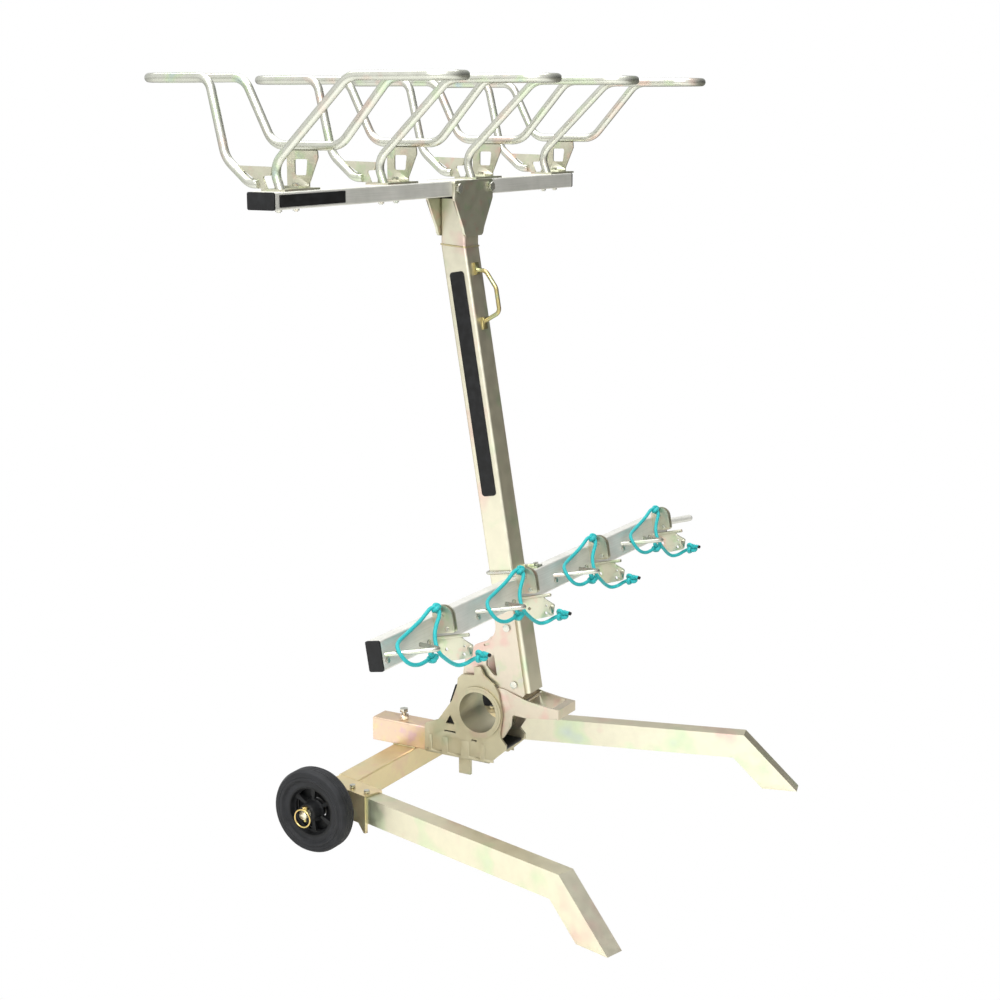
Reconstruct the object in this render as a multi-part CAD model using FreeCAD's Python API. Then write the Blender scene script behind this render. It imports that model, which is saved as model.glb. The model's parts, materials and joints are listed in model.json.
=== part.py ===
import FreeCAD, Part
import math
import os
from FreeCAD import Vector

# A vertical bicycle carrier parked in its wheeled storage stand.
# Modelling frame, in millimetres: X runs along the two cross bars, -Y is the side that carries the
# bicycles, +Z is up, the floor is Z = 0 and X = Y = 0 is on the axis of the stand's square receiver.
# At export everything is shifted so that the origin is the middle of the object's footprint box.

# ---- stand -------------------------------------------------------------------------------------
WHEEL_RADIUS = 100.0
WHEEL_WIDTH = 49.0
AXLE_Y = 20.8
AXLE_DIAMETER = 20.0
AXLE_TIP = 22.0             # axle that stands out past the hub
HUB_DIAMETER = 44.0
HUB_LENGTH = 58.0
HUB_PLAY = 0.5              # between the hub's inner end and the axle's shoulder
AXLE_SPACER = 36.2          # axle's shoulder, out from the leg's sleeve
AXLE_SPACER_DIAMETER = 34.0
HUB_BORE_CLEARANCE = 0.06
RIM_RADIUS = 62.0
RIM_WIDTH = 35.0
RIM_BAND = 6.0
RIM_WEB = 9.0
RIM_WINDOWS = 6
TYRE_GROOVE = 1.6
LINCH_PIN_DIAMETER = 6.0
LINCH_PIN_INSET = 9.0
LINCH_RING_DIAMETER = 42.0
LINCH_WIRE = 3.6

BEAM_DEPTH = 65.0
BEAM_HEIGHT = 60.0
BEAM_TOP = 143.0
BEAM_Y = 5.5
TUBE_WALL = 3.0

LEG_WIDTH = 45.0
LEG_HEIGHT = 62.0
LEG_DROP = 5.0              # leg's top below the beam's top
LEG_X = 306.0               # leg's centre line where it crosses Y = 0
LEG_SPLAY = 15.2            # degrees away from -Y
LEG_LENGTH = 715.0          # from Y = 0 to the upper corner of the knee
LEG_TAIL = 34.0             # leg behind Y = 0
FOOT_ANGLE = 45.0
SLEEVE_WALL = 4.0
SLEEVE_FRONT = 108.0
SLEEVE_BACK = 38.0
SLEEVE_CLEARANCE = 0.5

RECEIVER_SIZE = 60.0
RECEIVER_WALL = 4.0
RECEIVER_FRONT = -58.0
RECEIVER_BACK = 98.0
CLAMP_BOLT_DIAMETER = 12.0
CLAMP_BOLT_Y = 24.0

# ---- hitch head --------------------------------------------------------------------------------
TONGUE_CLEARANCE = 1.0      # each side of the tongue in the receiver
TONGUE_WALL = 5.0
TONGUE_BACK = 70.0          # end of the tongue inside the receiver
PIVOT_Y = -221.0
PIVOT_Z = 276.0
PIPE_OUTER = 116.0
PIPE_INNER = 101.0
PIPE_LIP = 1.0              # pipe past each collar
COLLAR_WIDTH = 5.5
COLLAR_LENGTH = 5.0
HEAD_PLATE = 6.0
HEAD_CLEARANCE = 0.9        # between a head plate and the pedal arm inside it
HEAD_BACK = -68.0
HEAD_RIB = 3.0
BLOCK_CAP = 6.0             # block above the tongue
BLOCK_BOTTOM = 150.0
BLOCK_FRONT = -296.0
BLOCK_STEP = -205.0
ARM_NOTCH = 14.0            # block's front corners, cut back for the pedal's arms at full tilt
FIN_THICKNESS = 8.0
FIN_OUT = 13.0               # tab's outer face, out from the tongue's side
INSERT_CLEARANCE = 2.5      # between the turning side plates and what stands beside them

# ---- mast --------------------------------------------------------------------------------------
LEAN = 9.5                  # degrees, the top leans towards +Y
MAST_SIZE = 65.0
MAST_ROOT_Y = -376.7        # where the mast's axis meets the floor
MAST_BOTTOM = 338.0         # stations along the mast's axis, from the floor
MITRE_Z = 1385.0
SIDE_PLATE = 6.0
SIDE_PLATE_TOP = 560.0
PIVOT_CLEARANCE = 0.08
BOSS_WALL = 12.0            # side plate round the pipe
PEDAL_ARM = 4.0
PEDAL_GAP = 0.6
PEDAL_HUB_WALL = 9.0
PEDAL_SHEET = 4.0
PEDAL_LIP = 14.0
PEDAL_ROD = 7.0
PEDAL_CLEARANCE = 0.09
PEDAL_REACH = 209.0         # cross plate, forward of the pivot
LABEL_THICKNESS = 1.2
MAST_LABEL_WIDTH = 38.0
MAST_LABEL_LENGTH = 527.0
MAST_LABEL_DROP = 60.2      # below the mitre, along the mast
HANDLE_DIAMETER = 10.0
HANDLE_REACH = 47.0
HANDLE_DROP = 63.2
HANDLE_LENGTH = 119.0

# ---- bars --------------------------------------------------------------------------------------
BAR_HEIGHT = 35.0
CAP_THICKNESS = 5.0
CAP_PLUG = 22.0
STUB_RISE = 132.0           # bar's middle above the mitre
TOP_BAR_NEAR_END = 98.0     # bar past the first and the last hoop's middle
TOP_BAR_FAR_END = 40.5
LOWER_BAR_NEAR_END = 204.0  # bar past the first and the last lug
LOWER_BAR_FAR_END = 78.0
LOWER_BAR_STATION = 594.3
GUSSET = 6.0
GUSSET_WIDTH = 172.0
GUSSET_FOOT_WIDTH = 92.0
GUSSET_BOLT_SPACING = 146.0
GUSSET_BOLT = 12.0
STUB_CAP = 8.0
BAR_LABEL_INSET = 13.0
BAR_LABEL_LENGTH = 226.0
BAR_LABEL_HEIGHT = 24.0

# ---- front wheel hoops -------------------------------------------------------------------------
BIKES = 4
PITCH = 370.0
HOOP_PAST_MAST = 87.0       # middle of the first hoop on the far side of the mast
ROD = 19.0
RAIL_SPACING = 96.0
HOOP_LEVEL = 220.5          # rails above the top bar's upper face
HOOP_DIP = 86.5             # bottom of the far rail above the same face
HOOP_BACK = 337.0           # back end of the rails, from the middle of the bar
HOOP_FRONT = -394.0
BASE_PLATE = 4.0
HOOP_BOLT = 8.0
HOOP_BOLT_SPACING = 59.0
HOOP_BOLT_Y = 11.0

# ---- rear wheel cradles ------------------------------------------------------------------------
CRADLE_BY_MAST = -78.0      # lug of the last cradle on the near side of the mast
LOOP_ROD = 10.0
LOOP_NEAR = (-193.0, 0.0)       # the loop's two roots: across from the lug, above the bar's middle
LOOP_FAR = (-60.0, -13.0)
LOOP_TIP = -116.0
LOOP_TIP_LEVEL = -10.0
LOOP_REACH = 88.0               # to the corner that the tip's bend rounds off
LOOP_BEND = 15.0
LUG_WIDTH = 14.0
LUG_SHEET = 4.0
LUG_REACH = 50.0
LUG_RADIUS = 27.0
LUG_ABOVE = 23.2                # top of the lug above the bar's upper face
LUG_DROP = 4.3                  # foot of the lug below the bar's middle
LUG_PIN = 6.0
LUG_PIN_HEAD = 10.0
GUARD_ROD = 8.0
GUARD_REACH = 80.0
GUARD_ROOT = -17.0              # guard rod's level at the bar and at its tip
GUARD_TIP = -10.5
LEAF = 4.0
LEAF_FOLD = 9.0
ROPE = 9.0
U_ROD = 8.0
U_ROD_GAP = 0.3
U_EAR = 26.0
U_EAR_SHEET = 5.0
U_BOLT = 8.0
END_ROD = 18.0
END_ROD_LENGTH = 115.0

LEAN_R = math.radians(LEAN)
SPLAY_R = math.radians(LEG_SPLAY)
LEG_TOP = BEAM_TOP - LEG_DROP
BAR_Y = MAST_ROOT_Y + MITRE_Z * math.tan(LEAN_R)
TOP_BAR_Z = MITRE_Z + STUB_RISE
MITRE_STATION = MITRE_Z / math.cos(LEAN_R)
BAR_DEPTH = MAST_SIZE       # the gussets lie flat on the bar and on the mast's stub
BAR_TOP = TOP_BAR_Z + BAR_HEIGHT / 2
BAR_BOTTOM = TOP_BAR_Z - BAR_HEIGHT / 2
FACE = MAST_SIZE / 2        # the mast's front face, off its axis
BAR_FACE = FACE + BAR_HEIGHT
PLATE_OUT = FACE + SIDE_PLATE
HALF_GAP = PLATE_OUT + PEDAL_GAP + PEDAL_ARM + HEAD_CLEARANCE
PIPE_LENGTH = 2 * (HALF_GAP + HEAD_PLATE + COLLAR_LENGTH + PIPE_LIP)
COLLAR_OUTER = PIPE_OUTER + 2 * COLLAR_WIDTH
BOSS_RADIUS = PIPE_OUTER / 2 + BOSS_WALL
TONGUE_SIZE = RECEIVER_SIZE - 2 * RECEIVER_WALL - 2 * TONGUE_CLEARANCE
RECEIVER_AXIS = BEAM_TOP + RECEIVER_SIZE / 2
TONGUE_BOTTOM = BEAM_TOP + RECEIVER_WALL
TONGUE_TOP = TONGUE_BOTTOM + TONGUE_SIZE
BLOCK_TOP = TONGUE_TOP + BLOCK_CAP
SLEEVE_OUT = LEG_WIDTH / 2 + SLEEVE_CLEARANCE + SLEEVE_WALL
SLEEVE_FACE = LEG_X + SLEEVE_OUT / math.cos(SPLAY_R) - AXLE_Y * math.tan(SPLAY_R)
HUB_MIDDLE = SLEEVE_FACE + AXLE_SPACER + HUB_PLAY + HUB_LENGTH / 2
HOOP_CENTRES = [HOOP_PAST_MAST + PITCH * (i - BIKES // 2) for i in range(BIKES)]
CRADLES = [CRADLE_BY_MAST + PITCH * (i + 1 - BIKES // 2) for i in range(BIKES)]
TOP_BAR_LEFT = HOOP_CENTRES[0] - TOP_BAR_NEAR_END
TOP_BAR_RIGHT = HOOP_CENTRES[-1] + TOP_BAR_FAR_END
LOWER_BAR_LEFT = CRADLES[0] - LOWER_BAR_NEAR_END
LOWER_BAR_RIGHT = CRADLES[-1] + LOWER_BAR_FAR_END

# side view of a block taller and longer than any sleeve, that cuts what ends on its side
BLADE = [(-200, 0), (200, 0), (200, 300), (-200, 300)]

parts = {}


# ---- helpers -----------------------------------------------------------------------------------
def box(x, y, z):
    """A block between pairs of coordinates."""
    return Part.makeBox(x[1] - x[0], y[1] - y[0], z[1] - z[0], Vector(x[0], y[0], z[0]))


def cylinder(start, end, diameter):
    axis = end - start
    return Part.makeCylinder(diameter / 2, axis.Length, start, axis)


def fuse(shapes):
    return shapes[0].multiFuse(shapes[1:]).removeSplitter()


def cut(shape, tools):
    for tool in tools:
        shape = shape.cut(tool)
    return shape


def rounded_edges(points, radii, closed=False):
    """Straight runs joined by tangent arcs; a radius of 0 leaves the corner sharp."""
    count = len(points)
    entries, exits, arcs = [], [], []
    for i, corner in enumerate(points):
        at_end = not closed and i in (0, count - 1)
        if at_end or radii[i] <= 0:
            entries.append(corner)
            exits.append(corner)
            arcs.append(None)
            continue
        back = (points[i - 1] - corner).normalize()
        onward = (points[(i + 1) % count] - corner).normalize()
        half_turn = (math.pi - back.getAngle(onward)) / 2
        reach = radii[i] * math.tan(half_turn)
        first = corner + back * reach
        last = corner + onward * reach
        inward = (back + onward).normalize()
        middle = corner + inward * (radii[i] / math.cos(half_turn) - radii[i])
        entries.append(first)
        exits.append(last)
        arcs.append(Part.Arc(first, middle, last).toShape())
    edges = []
    for i in range(count):
        if arcs[i]:
            edges.append(arcs[i])
        if i == count - 1 and not closed:
            break
        start, end = exits[i], entries[(i + 1) % count]
        if (end - start).Length > 1e-6:
            edges.append(Part.LineSegment(start, end).toShape())
    return edges


def rod(points, radii, diameter):
    """A round bar bent along straight runs and tangent arcs."""
    path = Part.Wire(rounded_edges(points, radii))
    start = points[0]
    ring = Part.Wire(Part.makeCircle(diameter / 2, start, points[1] - start))
    return path.makePipeShell([ring], True, False)


def sheet(corners, radii, thickness):
    """A flat plate: its outline is a list of 3-D corners, thickness is a vector."""
    wire = Part.Wire(rounded_edges(corners, radii, closed=True))
    return Part.Face(wire).extrude(thickness)


def square_tube(length, width, height, wall, radius):
    """A tube along +X from the origin, centred on the X axis, with rounded corners."""
    def bar(w, h, r):
        ys = [-w / 2, w / 2, w / 2, -w / 2]
        zs = [-h / 2, -h / 2, h / 2, h / 2]
        corners = [Vector(0, y, z) for y, z in zip(ys, zs)]
        return sheet(corners, [r] * 4, Vector(length, 0, 0))
    return bar(width, height, radius).cut(bar(width - 2 * wall, height - 2 * wall, max(radius - wall, 0.6)))


def yz_sheet(x, outline, thickness):
    """A plate at X = x whose outline is a list of (y, z, corner radius)."""
    corners = [Vector(x, y, z) for y, z, r in outline]
    return sheet(corners, [r for y, z, r in outline], Vector(thickness, 0, 0))


def on_mast(x, station, offset):
    """A point given across the mast, along its axis and out from its axis towards -Y."""
    y = MAST_ROOT_Y + station * math.sin(LEAN_R) - offset * math.cos(LEAN_R)
    z = station * math.cos(LEAN_R) + offset * math.sin(LEAN_R)
    return Vector(x, y, z)


def mast_sheet(x, outline, thickness):
    """A plate across X whose outline is a list of (offset, station, corner radius)."""
    corners = [on_mast(x, s, o) for o, s, r in outline]
    return sheet(corners, [r for o, s, r in outline], Vector(thickness, 0, 0))


def lean(shape):
    """Turns a shape built upright, with Z as the mast's station and -Y as offset, onto the mast."""
    shape = shape.copy()
    shape.rotate(Vector(0, 0, 0), Vector(1, 0, 0), -LEAN)
    shape.translate(Vector(0, MAST_ROOT_Y, 0))
    return shape


def hexagon(start, axis, across, height):
    """A hexagon bolt head or nut."""
    direction = Vector(axis).normalize()
    side = Vector(1, 0, 0) if abs(direction.x) < 0.9 else Vector(0, 1, 0)
    side = (side - direction * side.dot(direction)).normalize()
    other = direction.cross(side)
    radius = across / math.sqrt(3)
    corners = []
    for i in range(6):
        angle = math.radians(60 * i + 30)
        corners.append(start + side * radius * math.cos(angle) + other * radius * math.sin(angle))
    return sheet(corners, [0] * 6, direction * height)


def bolt(head_at, nut_at, diameter, across, head, nut):
    """Head, shank and nut as one solid; the two points are the faces it clamps."""
    axis = (nut_at - head_at).normalize()
    shapes = [cylinder(head_at - axis * head / 2, nut_at + axis * (nut + 2), diameter)]
    shapes.append(hexagon(head_at - axis * head, axis, across, head))
    shapes.append(hexagon(nut_at, axis, across, nut))
    return fuse(shapes)


def mirrored(shape):
    return shape.mirror(Vector(0, 0, 0), Vector(1, 0, 0))


# ---- stand -------------------------------------------------------------------------------------
def leg_axis(distance, side, across=0.0, z=0.0):
    """A point on a leg, by its distance forward of Y = 0 and its distance out from the centre line."""
    x = LEG_X + distance * math.sin(SPLAY_R) + across * math.cos(SPLAY_R)
    y = -distance * math.cos(SPLAY_R) + across * math.sin(SPLAY_R)
    return Vector(side * x, y, z)


def leg_prism(outline, width):
    """Extrudes a side view, a list of (distance, z), over the leg's width, for the +X leg."""
    corners = [leg_axis(d, 1, -width / 2, z) for d, z in outline]
    outward = leg_axis(0, 1, width) - leg_axis(0, 1)
    return sheet(corners, [0] * len(corners), outward)


def leg():
    slope = math.radians(FOOT_ANGLE)
    bend = math.tan(slope / 2)

    def outline(inset, below):
        top = LEG_TOP - inset
        bottom = LEG_TOP - LEG_HEIGHT + inset
        knee_top = LEG_LENGTH - inset * bend
        knee_bottom = knee_top - (top - bottom) * bend
        toe = knee_top + (top + below) / math.tan(slope)
        heel = knee_bottom + (bottom + below) / math.tan(slope)
        start = -LEG_TAIL - (1 if inset else 0)
        return [(start, bottom), (knee_bottom, bottom), (heel, -below), (toe, -below),
                (knee_top, top), (start, top)]
    outer = leg_prism(outline(0, 0), LEG_WIDTH)
    inner = leg_prism(outline(TUBE_WALL, 1), LEG_WIDTH - 2 * TUBE_WALL)
    return outer.cut(inner)


def sleeve():
    """Welded square sleeve at the end of the cross beam; the leg slides into it."""
    bottom = LEG_TOP - LEG_HEIGHT - SLEEVE_CLEARANCE
    top = LEG_TOP + SLEEVE_CLEARANCE
    ends = (-SLEEVE_BACK, SLEEVE_FRONT)
    rim = [(ends[0], bottom - SLEEVE_WALL), (ends[1], bottom - SLEEVE_WALL),
           (ends[1], top + SLEEVE_WALL), (ends[0], top + SLEEVE_WALL)]
    hole = [(ends[0] - 1, bottom), (ends[1] + 1, bottom), (ends[1] + 1, top), (ends[0] - 1, top)]
    shell = leg_prism(rim, 2 * SLEEVE_OUT).cut(leg_prism(hole, LEG_WIDTH + 2 * SLEEVE_CLEARANCE))
    low = bottom - SLEEVE_WALL
    ear = leg_prism([(ends[1], low), (ends[1], low - 20), (ends[1] - 6, low - 20), (ends[1] - 24, low)], 8)
    ear.translate(leg_axis(0, 1, SLEEVE_OUT - 4) - leg_axis(0, 1))
    return fuse([shell, ear])


def sleeve_bolts():
    """Two set screws with hexagon heads that hold the leg in its sleeve."""
    top = LEG_TOP + SLEEVE_CLEARANCE + SLEEVE_WALL
    shapes = []
    for side in (-1, 1):
        for distance in (46.0, 96.0):
            foot = leg_axis(distance, side, 10.0, LEG_TOP)
            up = Vector(0, 0, 1)
            screw = [cylinder(foot, foot + up * (top - LEG_TOP + 6), 8.0)]
            screw.append(hexagon(Vector(foot.x, foot.y, top + 2), up, 13.0, 6.0))
            shapes.append(fuse(screw))
    return shapes


def cross_beam():
    reach = LEG_X + 60
    beam = square_tube(2 * reach, BEAM_DEPTH, BEAM_HEIGHT, TUBE_WALL, 5.0)
    beam.translate(Vector(-reach, BEAM_Y, BEAM_TOP - BEAM_HEIGHT / 2))
    # the beam is mitred against the inner face of each sleeve
    beyond = leg_prism(BLADE, 2 * SLEEVE_OUT)
    outer = leg_prism(BLADE, 300)
    outer.translate(leg_axis(0, 1, 150) - leg_axis(0, 1))
    blade = fuse([beyond, outer])
    return cut(beam, [blade, mirrored(blade)])


def receiver():
    length = RECEIVER_BACK - RECEIVER_FRONT
    tube = square_tube(length, RECEIVER_SIZE, RECEIVER_SIZE, RECEIVER_WALL, 4.0)
    tube.rotate(Vector(0, 0, 0), Vector(0, 0, 1), 90)
    tube.translate(Vector(0, RECEIVER_FRONT, RECEIVER_AXIS))
    top = BEAM_TOP + RECEIVER_SIZE
    nut = hexagon(Vector(0, CLAMP_BOLT_Y, top), Vector(0, 0, 1), 22.0, 10.0)
    hole = cylinder(Vector(0, CLAMP_BOLT_Y, top - 10), Vector(0, CLAMP_BOLT_Y, top + 12), CLAMP_BOLT_DIAMETER)
    return fuse([tube, nut]).cut(hole)


def clamp_bolt():
    top = BEAM_TOP + RECEIVER_SIZE
    tip = Vector(0, CLAMP_BOLT_Y, TONGUE_TOP)
    shank = cylinder(tip, Vector(0, CLAMP_BOLT_Y, top + 20), CLAMP_BOLT_DIAMETER)
    head = hexagon(Vector(0, CLAMP_BOLT_Y, top + 18), Vector(0, 0, 1), 19.0, 8.0)
    return fuse([shank, head])


def wheel_face(side):
    return side * (HUB_MIDDLE + WHEEL_WIDTH / 2)


def axle(side):
    root = side * (SLEEVE_FACE - 1)
    tip = wheel_face(side) + side * AXLE_TIP
    inner = side * (SLEEVE_FACE + AXLE_SPACER)
    shaft = cylinder(Vector(root, AXLE_Y, WHEEL_RADIUS), Vector(tip, AXLE_Y, WHEEL_RADIUS), AXLE_DIAMETER)
    spacer = cylinder(Vector(root, AXLE_Y, WHEEL_RADIUS), Vector(inner, AXLE_Y, WHEEL_RADIUS),
                      AXLE_SPACER_DIAMETER)
    beyond = leg_prism(BLADE, 2 * SLEEVE_OUT)
    if side < 0:
        beyond = mirrored(beyond)
    pin_x = tip - side * LINCH_PIN_INSET
    hole = cylinder(Vector(pin_x, AXLE_Y, WHEEL_RADIUS - AXLE_DIAMETER),
                    Vector(pin_x, AXLE_Y, WHEEL_RADIUS + AXLE_DIAMETER), LINCH_PIN_DIAMETER)
    return fuse([shaft, spacer]).cut(beyond).cut(hole)


def linch_pin(side):
    """Pin through the axle's tip with its spring ring folded over the end."""
    x = wheel_face(side) + side * (AXLE_TIP - LINCH_PIN_INSET)
    head = Vector(x, AXLE_Y, WHEEL_RADIUS + AXLE_DIAMETER / 2)
    pin = cylinder(Vector(x, AXLE_Y, WHEEL_RADIUS - 17), head + Vector(0, 0, 6), LINCH_PIN_DIAMETER)
    cap = cylinder(head, head + Vector(0, 0, 9), 13.0)
    ring_x = wheel_face(side) + side * (AXLE_TIP + LINCH_WIRE / 2)
    radius = LINCH_RING_DIAMETER / 2
    ring = Part.makeTorus(radius, LINCH_WIRE / 2, Vector(ring_x, AXLE_Y, WHEEL_RADIUS - 6), Vector(1, 0, 0))
    top = Vector(ring_x, AXLE_Y, WHEEL_RADIUS - 6 + radius)
    bridge = cylinder(Vector(x, AXLE_Y, top.z), top, LINCH_WIRE)
    return fuse([pin, cap, ring, bridge])


def tyre(side):
    """Solid rubber tyre: stepped sidewalls, a rounded shoulder with ribs, grooves round the tread."""
    half = WHEEL_WIDTH / 2
    shoulder, step = WHEEL_RADIUS - 5.0, WHEEL_RADIUS - 22.0
    profile = [(RIM_RADIUS, half - 7, 0), (step - 6, half - 7, 1.5), (step, half, 3),
               (shoulder, half - 1.5, 5), (WHEEL_RADIUS, half - 11, 4)]
    outline = [(r, -x, c) for r, x, c in profile] + [(r, x, c) for r, x, c in reversed(profile)]
    corners = [Vector(x, 0, r) for r, x, c in outline]
    face = Part.Face(Part.Wire(rounded_edges(corners, [c for r, x, c in outline], closed=True)))
    ring = face.revolve(Vector(0, 0, 0), Vector(1, 0, 0), 360)
    grooves = [(WHEEL_RADIUS + 0.4, x) for x in (-9.0, 0.0, 9.0)]
    grooves += [(r, x) for r in (shoulder - 4, shoulder - 11) for x in (-half, half)]
    for radius, x in grooves:
        ring = ring.cut(Part.makeTorus(radius, TYRE_GROOVE, Vector(x, 0, 0), Vector(1, 0, 0)))
    ring.translate(Vector(side * HUB_MIDDLE, AXLE_Y, WHEEL_RADIUS))
    return ring


def rim(side):
    """Moulded rim: outer band, hub and a web between them with wedge-shaped windows."""
    half = RIM_WIDTH / 2
    x = Vector(1, 0, 0)

    def disc(radius, width):
        return Part.makeCylinder(radius, width, Vector(-width / 2, 0, 0), x)

    def ring(outer, inner, width):
        return disc(outer, width).cut(disc(inner, width + 2))
    inside, outside = HUB_DIAMETER / 2 + 5, RIM_RADIUS - RIM_BAND - 5
    wedge = ring(outside, inside, RIM_WIDTH)
    keep = 180 / RIM_WINDOWS - 7
    reach = RIM_RADIUS * 1.2
    corners = [Vector(-half - 1, 0, 0)]
    corners += [Vector(-half - 1, reach * math.sin(math.radians(a)), reach * math.cos(math.radians(a)))
                for a in (-keep, 0, keep)]
    wedge = wedge.common(sheet(corners, [0] * 4, Vector(RIM_WIDTH + 2, 0, 0)))
    web = disc(RIM_RADIUS - 3, RIM_WEB)
    for i in range(RIM_WINDOWS):
        window = wedge.copy()
        window.rotate(Vector(0, 0, 0), x, 360 / RIM_WINDOWS * (i + 0.5))
        web = web.cut(window)
    shapes = [ring(RIM_RADIUS, RIM_RADIUS - RIM_BAND, RIM_WIDTH), disc(HUB_DIAMETER / 2, HUB_LENGTH), web]
    bore = AXLE_DIAMETER + 2 * HUB_BORE_CLEARANCE
    wheel = fuse(shapes).cut(disc(bore / 2, HUB_LENGTH + 2))
    wheel.translate(Vector(side * HUB_MIDDLE, AXLE_Y, WHEEL_RADIUS))
    return wheel


# ---- hitch head --------------------------------------------------------------------------------
def tongue():
    """Square tube that plugs into the receiver and runs forward into the head."""
    length = TONGUE_BACK - BLOCK_STEP
    tube = square_tube(length, TONGUE_SIZE, TONGUE_SIZE, TONGUE_WALL, 4.0)
    tube.rotate(Vector(0, 0, 0), Vector(0, 0, 1), 90)
    tube.translate(Vector(0, BLOCK_STEP, TONGUE_BOTTOM + TONGUE_SIZE / 2))
    return tube


def head_outline():
    """Side view of a head plate: foot along the tongue, tall cheek round the pivot with a horn on top."""
    front = PIVOT_Y - COLLAR_OUTER / 2
    return [(HEAD_BACK, BLOCK_BOTTOM, 3), (HEAD_BACK, 222.0, 6), (-107.0, 238.0, 10), (-146.0, 292.0, 40),
            (-161.0, 332.0, 30), (-163.0, 352.0, 6), (-174.0, 363.0, 3), (-210.0, 366.0, 3),
            (-207.0, 388.0, 4), (-224.0, 389.0, 6), (-238.0, 366.0, 26), (-262.0, 352.0, 14),
            (front + 8, 328.0, 20), (front - 2, PIVOT_Z, 40), (front + 6, 222.0, 20),
            (BLOCK_FRONT, 204.0, 3), (BLOCK_FRONT, 192.0, 3), (-250.0, BLOCK_BOTTOM, 6)]


def head_plate(side):
    """Cast cheek with upright ribs over its foot, a triangular window and two slots."""
    plate = yz_sheet(HALF_GAP, head_outline(), HEAD_PLATE)
    outer = HALF_GAP + HEAD_PLATE
    ribs = []
    for y, width in ((-80.0, 8.0), (-118.0, 16.0), (-172.0, 22.0), (-226.0, 12.0)):
        ribs.append(box((outer - 1, outer + HEAD_RIB), (y - width, y), (BLOCK_BOTTOM + 3, TONGUE_TOP - 1)))
    ledge = box((outer - 1, outer + HEAD_RIB / 2), (-262.0, HEAD_BACK - 4), (BLOCK_BOTTOM + 4, 160.0))
    x = HALF_GAP - 1
    depth = HEAD_PLATE + 2
    window = yz_sheet(x, [(-128.0, 232.0, 2), (-154.0, 232.0, 2), (-141.0, 256.0, 2)], depth)
    slots = [box((x, x + depth), (y - w / 2, y + w / 2), (z, z + 4.5))
             for y, z, w in ((-140.0, 210.0, 32.0), (-208.0, 198.5, 14.0))]
    bore = cylinder(Vector(x, PIVOT_Y, PIVOT_Z), Vector(x + depth, PIVOT_Y, PIVOT_Z), PIPE_OUTER)
    plate = cut(fuse([plate, ledge] + ribs), [window, bore] + slots)
    return plate if side > 0 else mirrored(plate)


def boss_space():
    """Room for the side plates to turn in, between the head plates."""
    reach = HALF_GAP + 1
    return cylinder(Vector(-reach, PIVOT_Y, PIVOT_Z), Vector(reach, PIVOT_Y, PIVOT_Z),
                    2 * (BOSS_RADIUS + INSERT_CLEARANCE))


def head_block():
    """Spacer casting between the plates; it grips the tongue."""
    block = box((-HALF_GAP, HALF_GAP), (BLOCK_STEP, HEAD_BACK), (BLOCK_BOTTOM, BLOCK_TOP))
    half = TONGUE_SIZE / 2
    socket = box((-half, half), (BLOCK_STEP, HEAD_BACK + 8), (TONGUE_BOTTOM, TONGUE_TOP))
    notch = yz_sheet(PLATE_OUT, [(BLOCK_STEP - 1, BLOCK_TOP - ARM_NOTCH, 0),
                                 (BLOCK_STEP - 1, BLOCK_TOP + 1, 0),
                                 (BLOCK_STEP + ARM_NOTCH, BLOCK_TOP + 1, 0)], HALF_GAP - PLATE_OUT + 1)
    return cut(block, [socket, boss_space(), notch, mirrored(notch)])


def head_inserts():
    """Black plastic fillers between the head plates: one in front of the block, one up the back edge."""
    between = PLATE_OUT - PEDAL_GAP  # the pedal's arms pass on both sides of the front filler
    front = yz_sheet(-between, [(BLOCK_STEP, BLOCK_BOTTOM + 3, 0), (-246.0, BLOCK_BOTTOM + 5, 4),
                                (BLOCK_FRONT + 5, 190.0, 3), (BLOCK_FRONT + 5, 196.0, 3),
                                (BLOCK_STEP, 196.0, 0)], 2 * between)
    inside = PIVOT_Y + BOSS_RADIUS * 0.66
    back = yz_sheet(-HALF_GAP, [(-96.0, BLOCK_TOP, 0), (-112.0, 236.0, 6), (-142.0, 280.0, 10),
                                (-137.0, 286.0, 3), (-153.0, 333.0, 3), (-161.0, 333.0, 3), (inside, 290.0, 0),
                                (inside, BLOCK_TOP, 0)], 2 * HALF_GAP)
    return [front.cut(boss_space()), back.cut(boss_space())]


def pivot_pipe():
    half = PIPE_LENGTH / 2
    outer = cylinder(Vector(-half, PIVOT_Y, PIVOT_Z), Vector(half, PIVOT_Y, PIVOT_Z), PIPE_OUTER)
    inner = cylinder(Vector(-half - 1, PIVOT_Y, PIVOT_Z), Vector(half + 1, PIVOT_Y, PIVOT_Z), PIPE_INNER)
    return outer.cut(inner)


def collars():
    """Retaining rings on the pipe, outside the head plates."""
    shapes = []
    start = HALF_GAP + HEAD_PLATE
    for side in (-1, 1):
        a = Vector(side * start, PIVOT_Y, PIVOT_Z)
        b = Vector(side * (start + COLLAR_LENGTH), PIVOT_Y, PIVOT_Z)
        shapes.append(cylinder(a, b, COLLAR_OUTER).cut(cylinder(a, b, PIPE_OUTER)))
    return shapes


def fin():
    """Steel tab welded under the head."""
    side = TONGUE_SIZE / 2 + FIN_OUT
    return box((-side, FIN_THICKNESS - side), (-190.0, -158.0), (106.0, BLOCK_BOTTOM))


# ---- mast --------------------------------------------------------------------------------------
def mitre_blade(above):
    """Half space on one side of the mitre plane between the leaning mast and its upright stub."""
    block = box((-200, 200), (-400, 400), (0, 800) if above else (-800, 0))
    block.rotate(Vector(0, 0, 0), Vector(1, 0, 0), -LEAN / 2)
    block.translate(Vector(0, BAR_Y, MITRE_Z))
    return block


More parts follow.
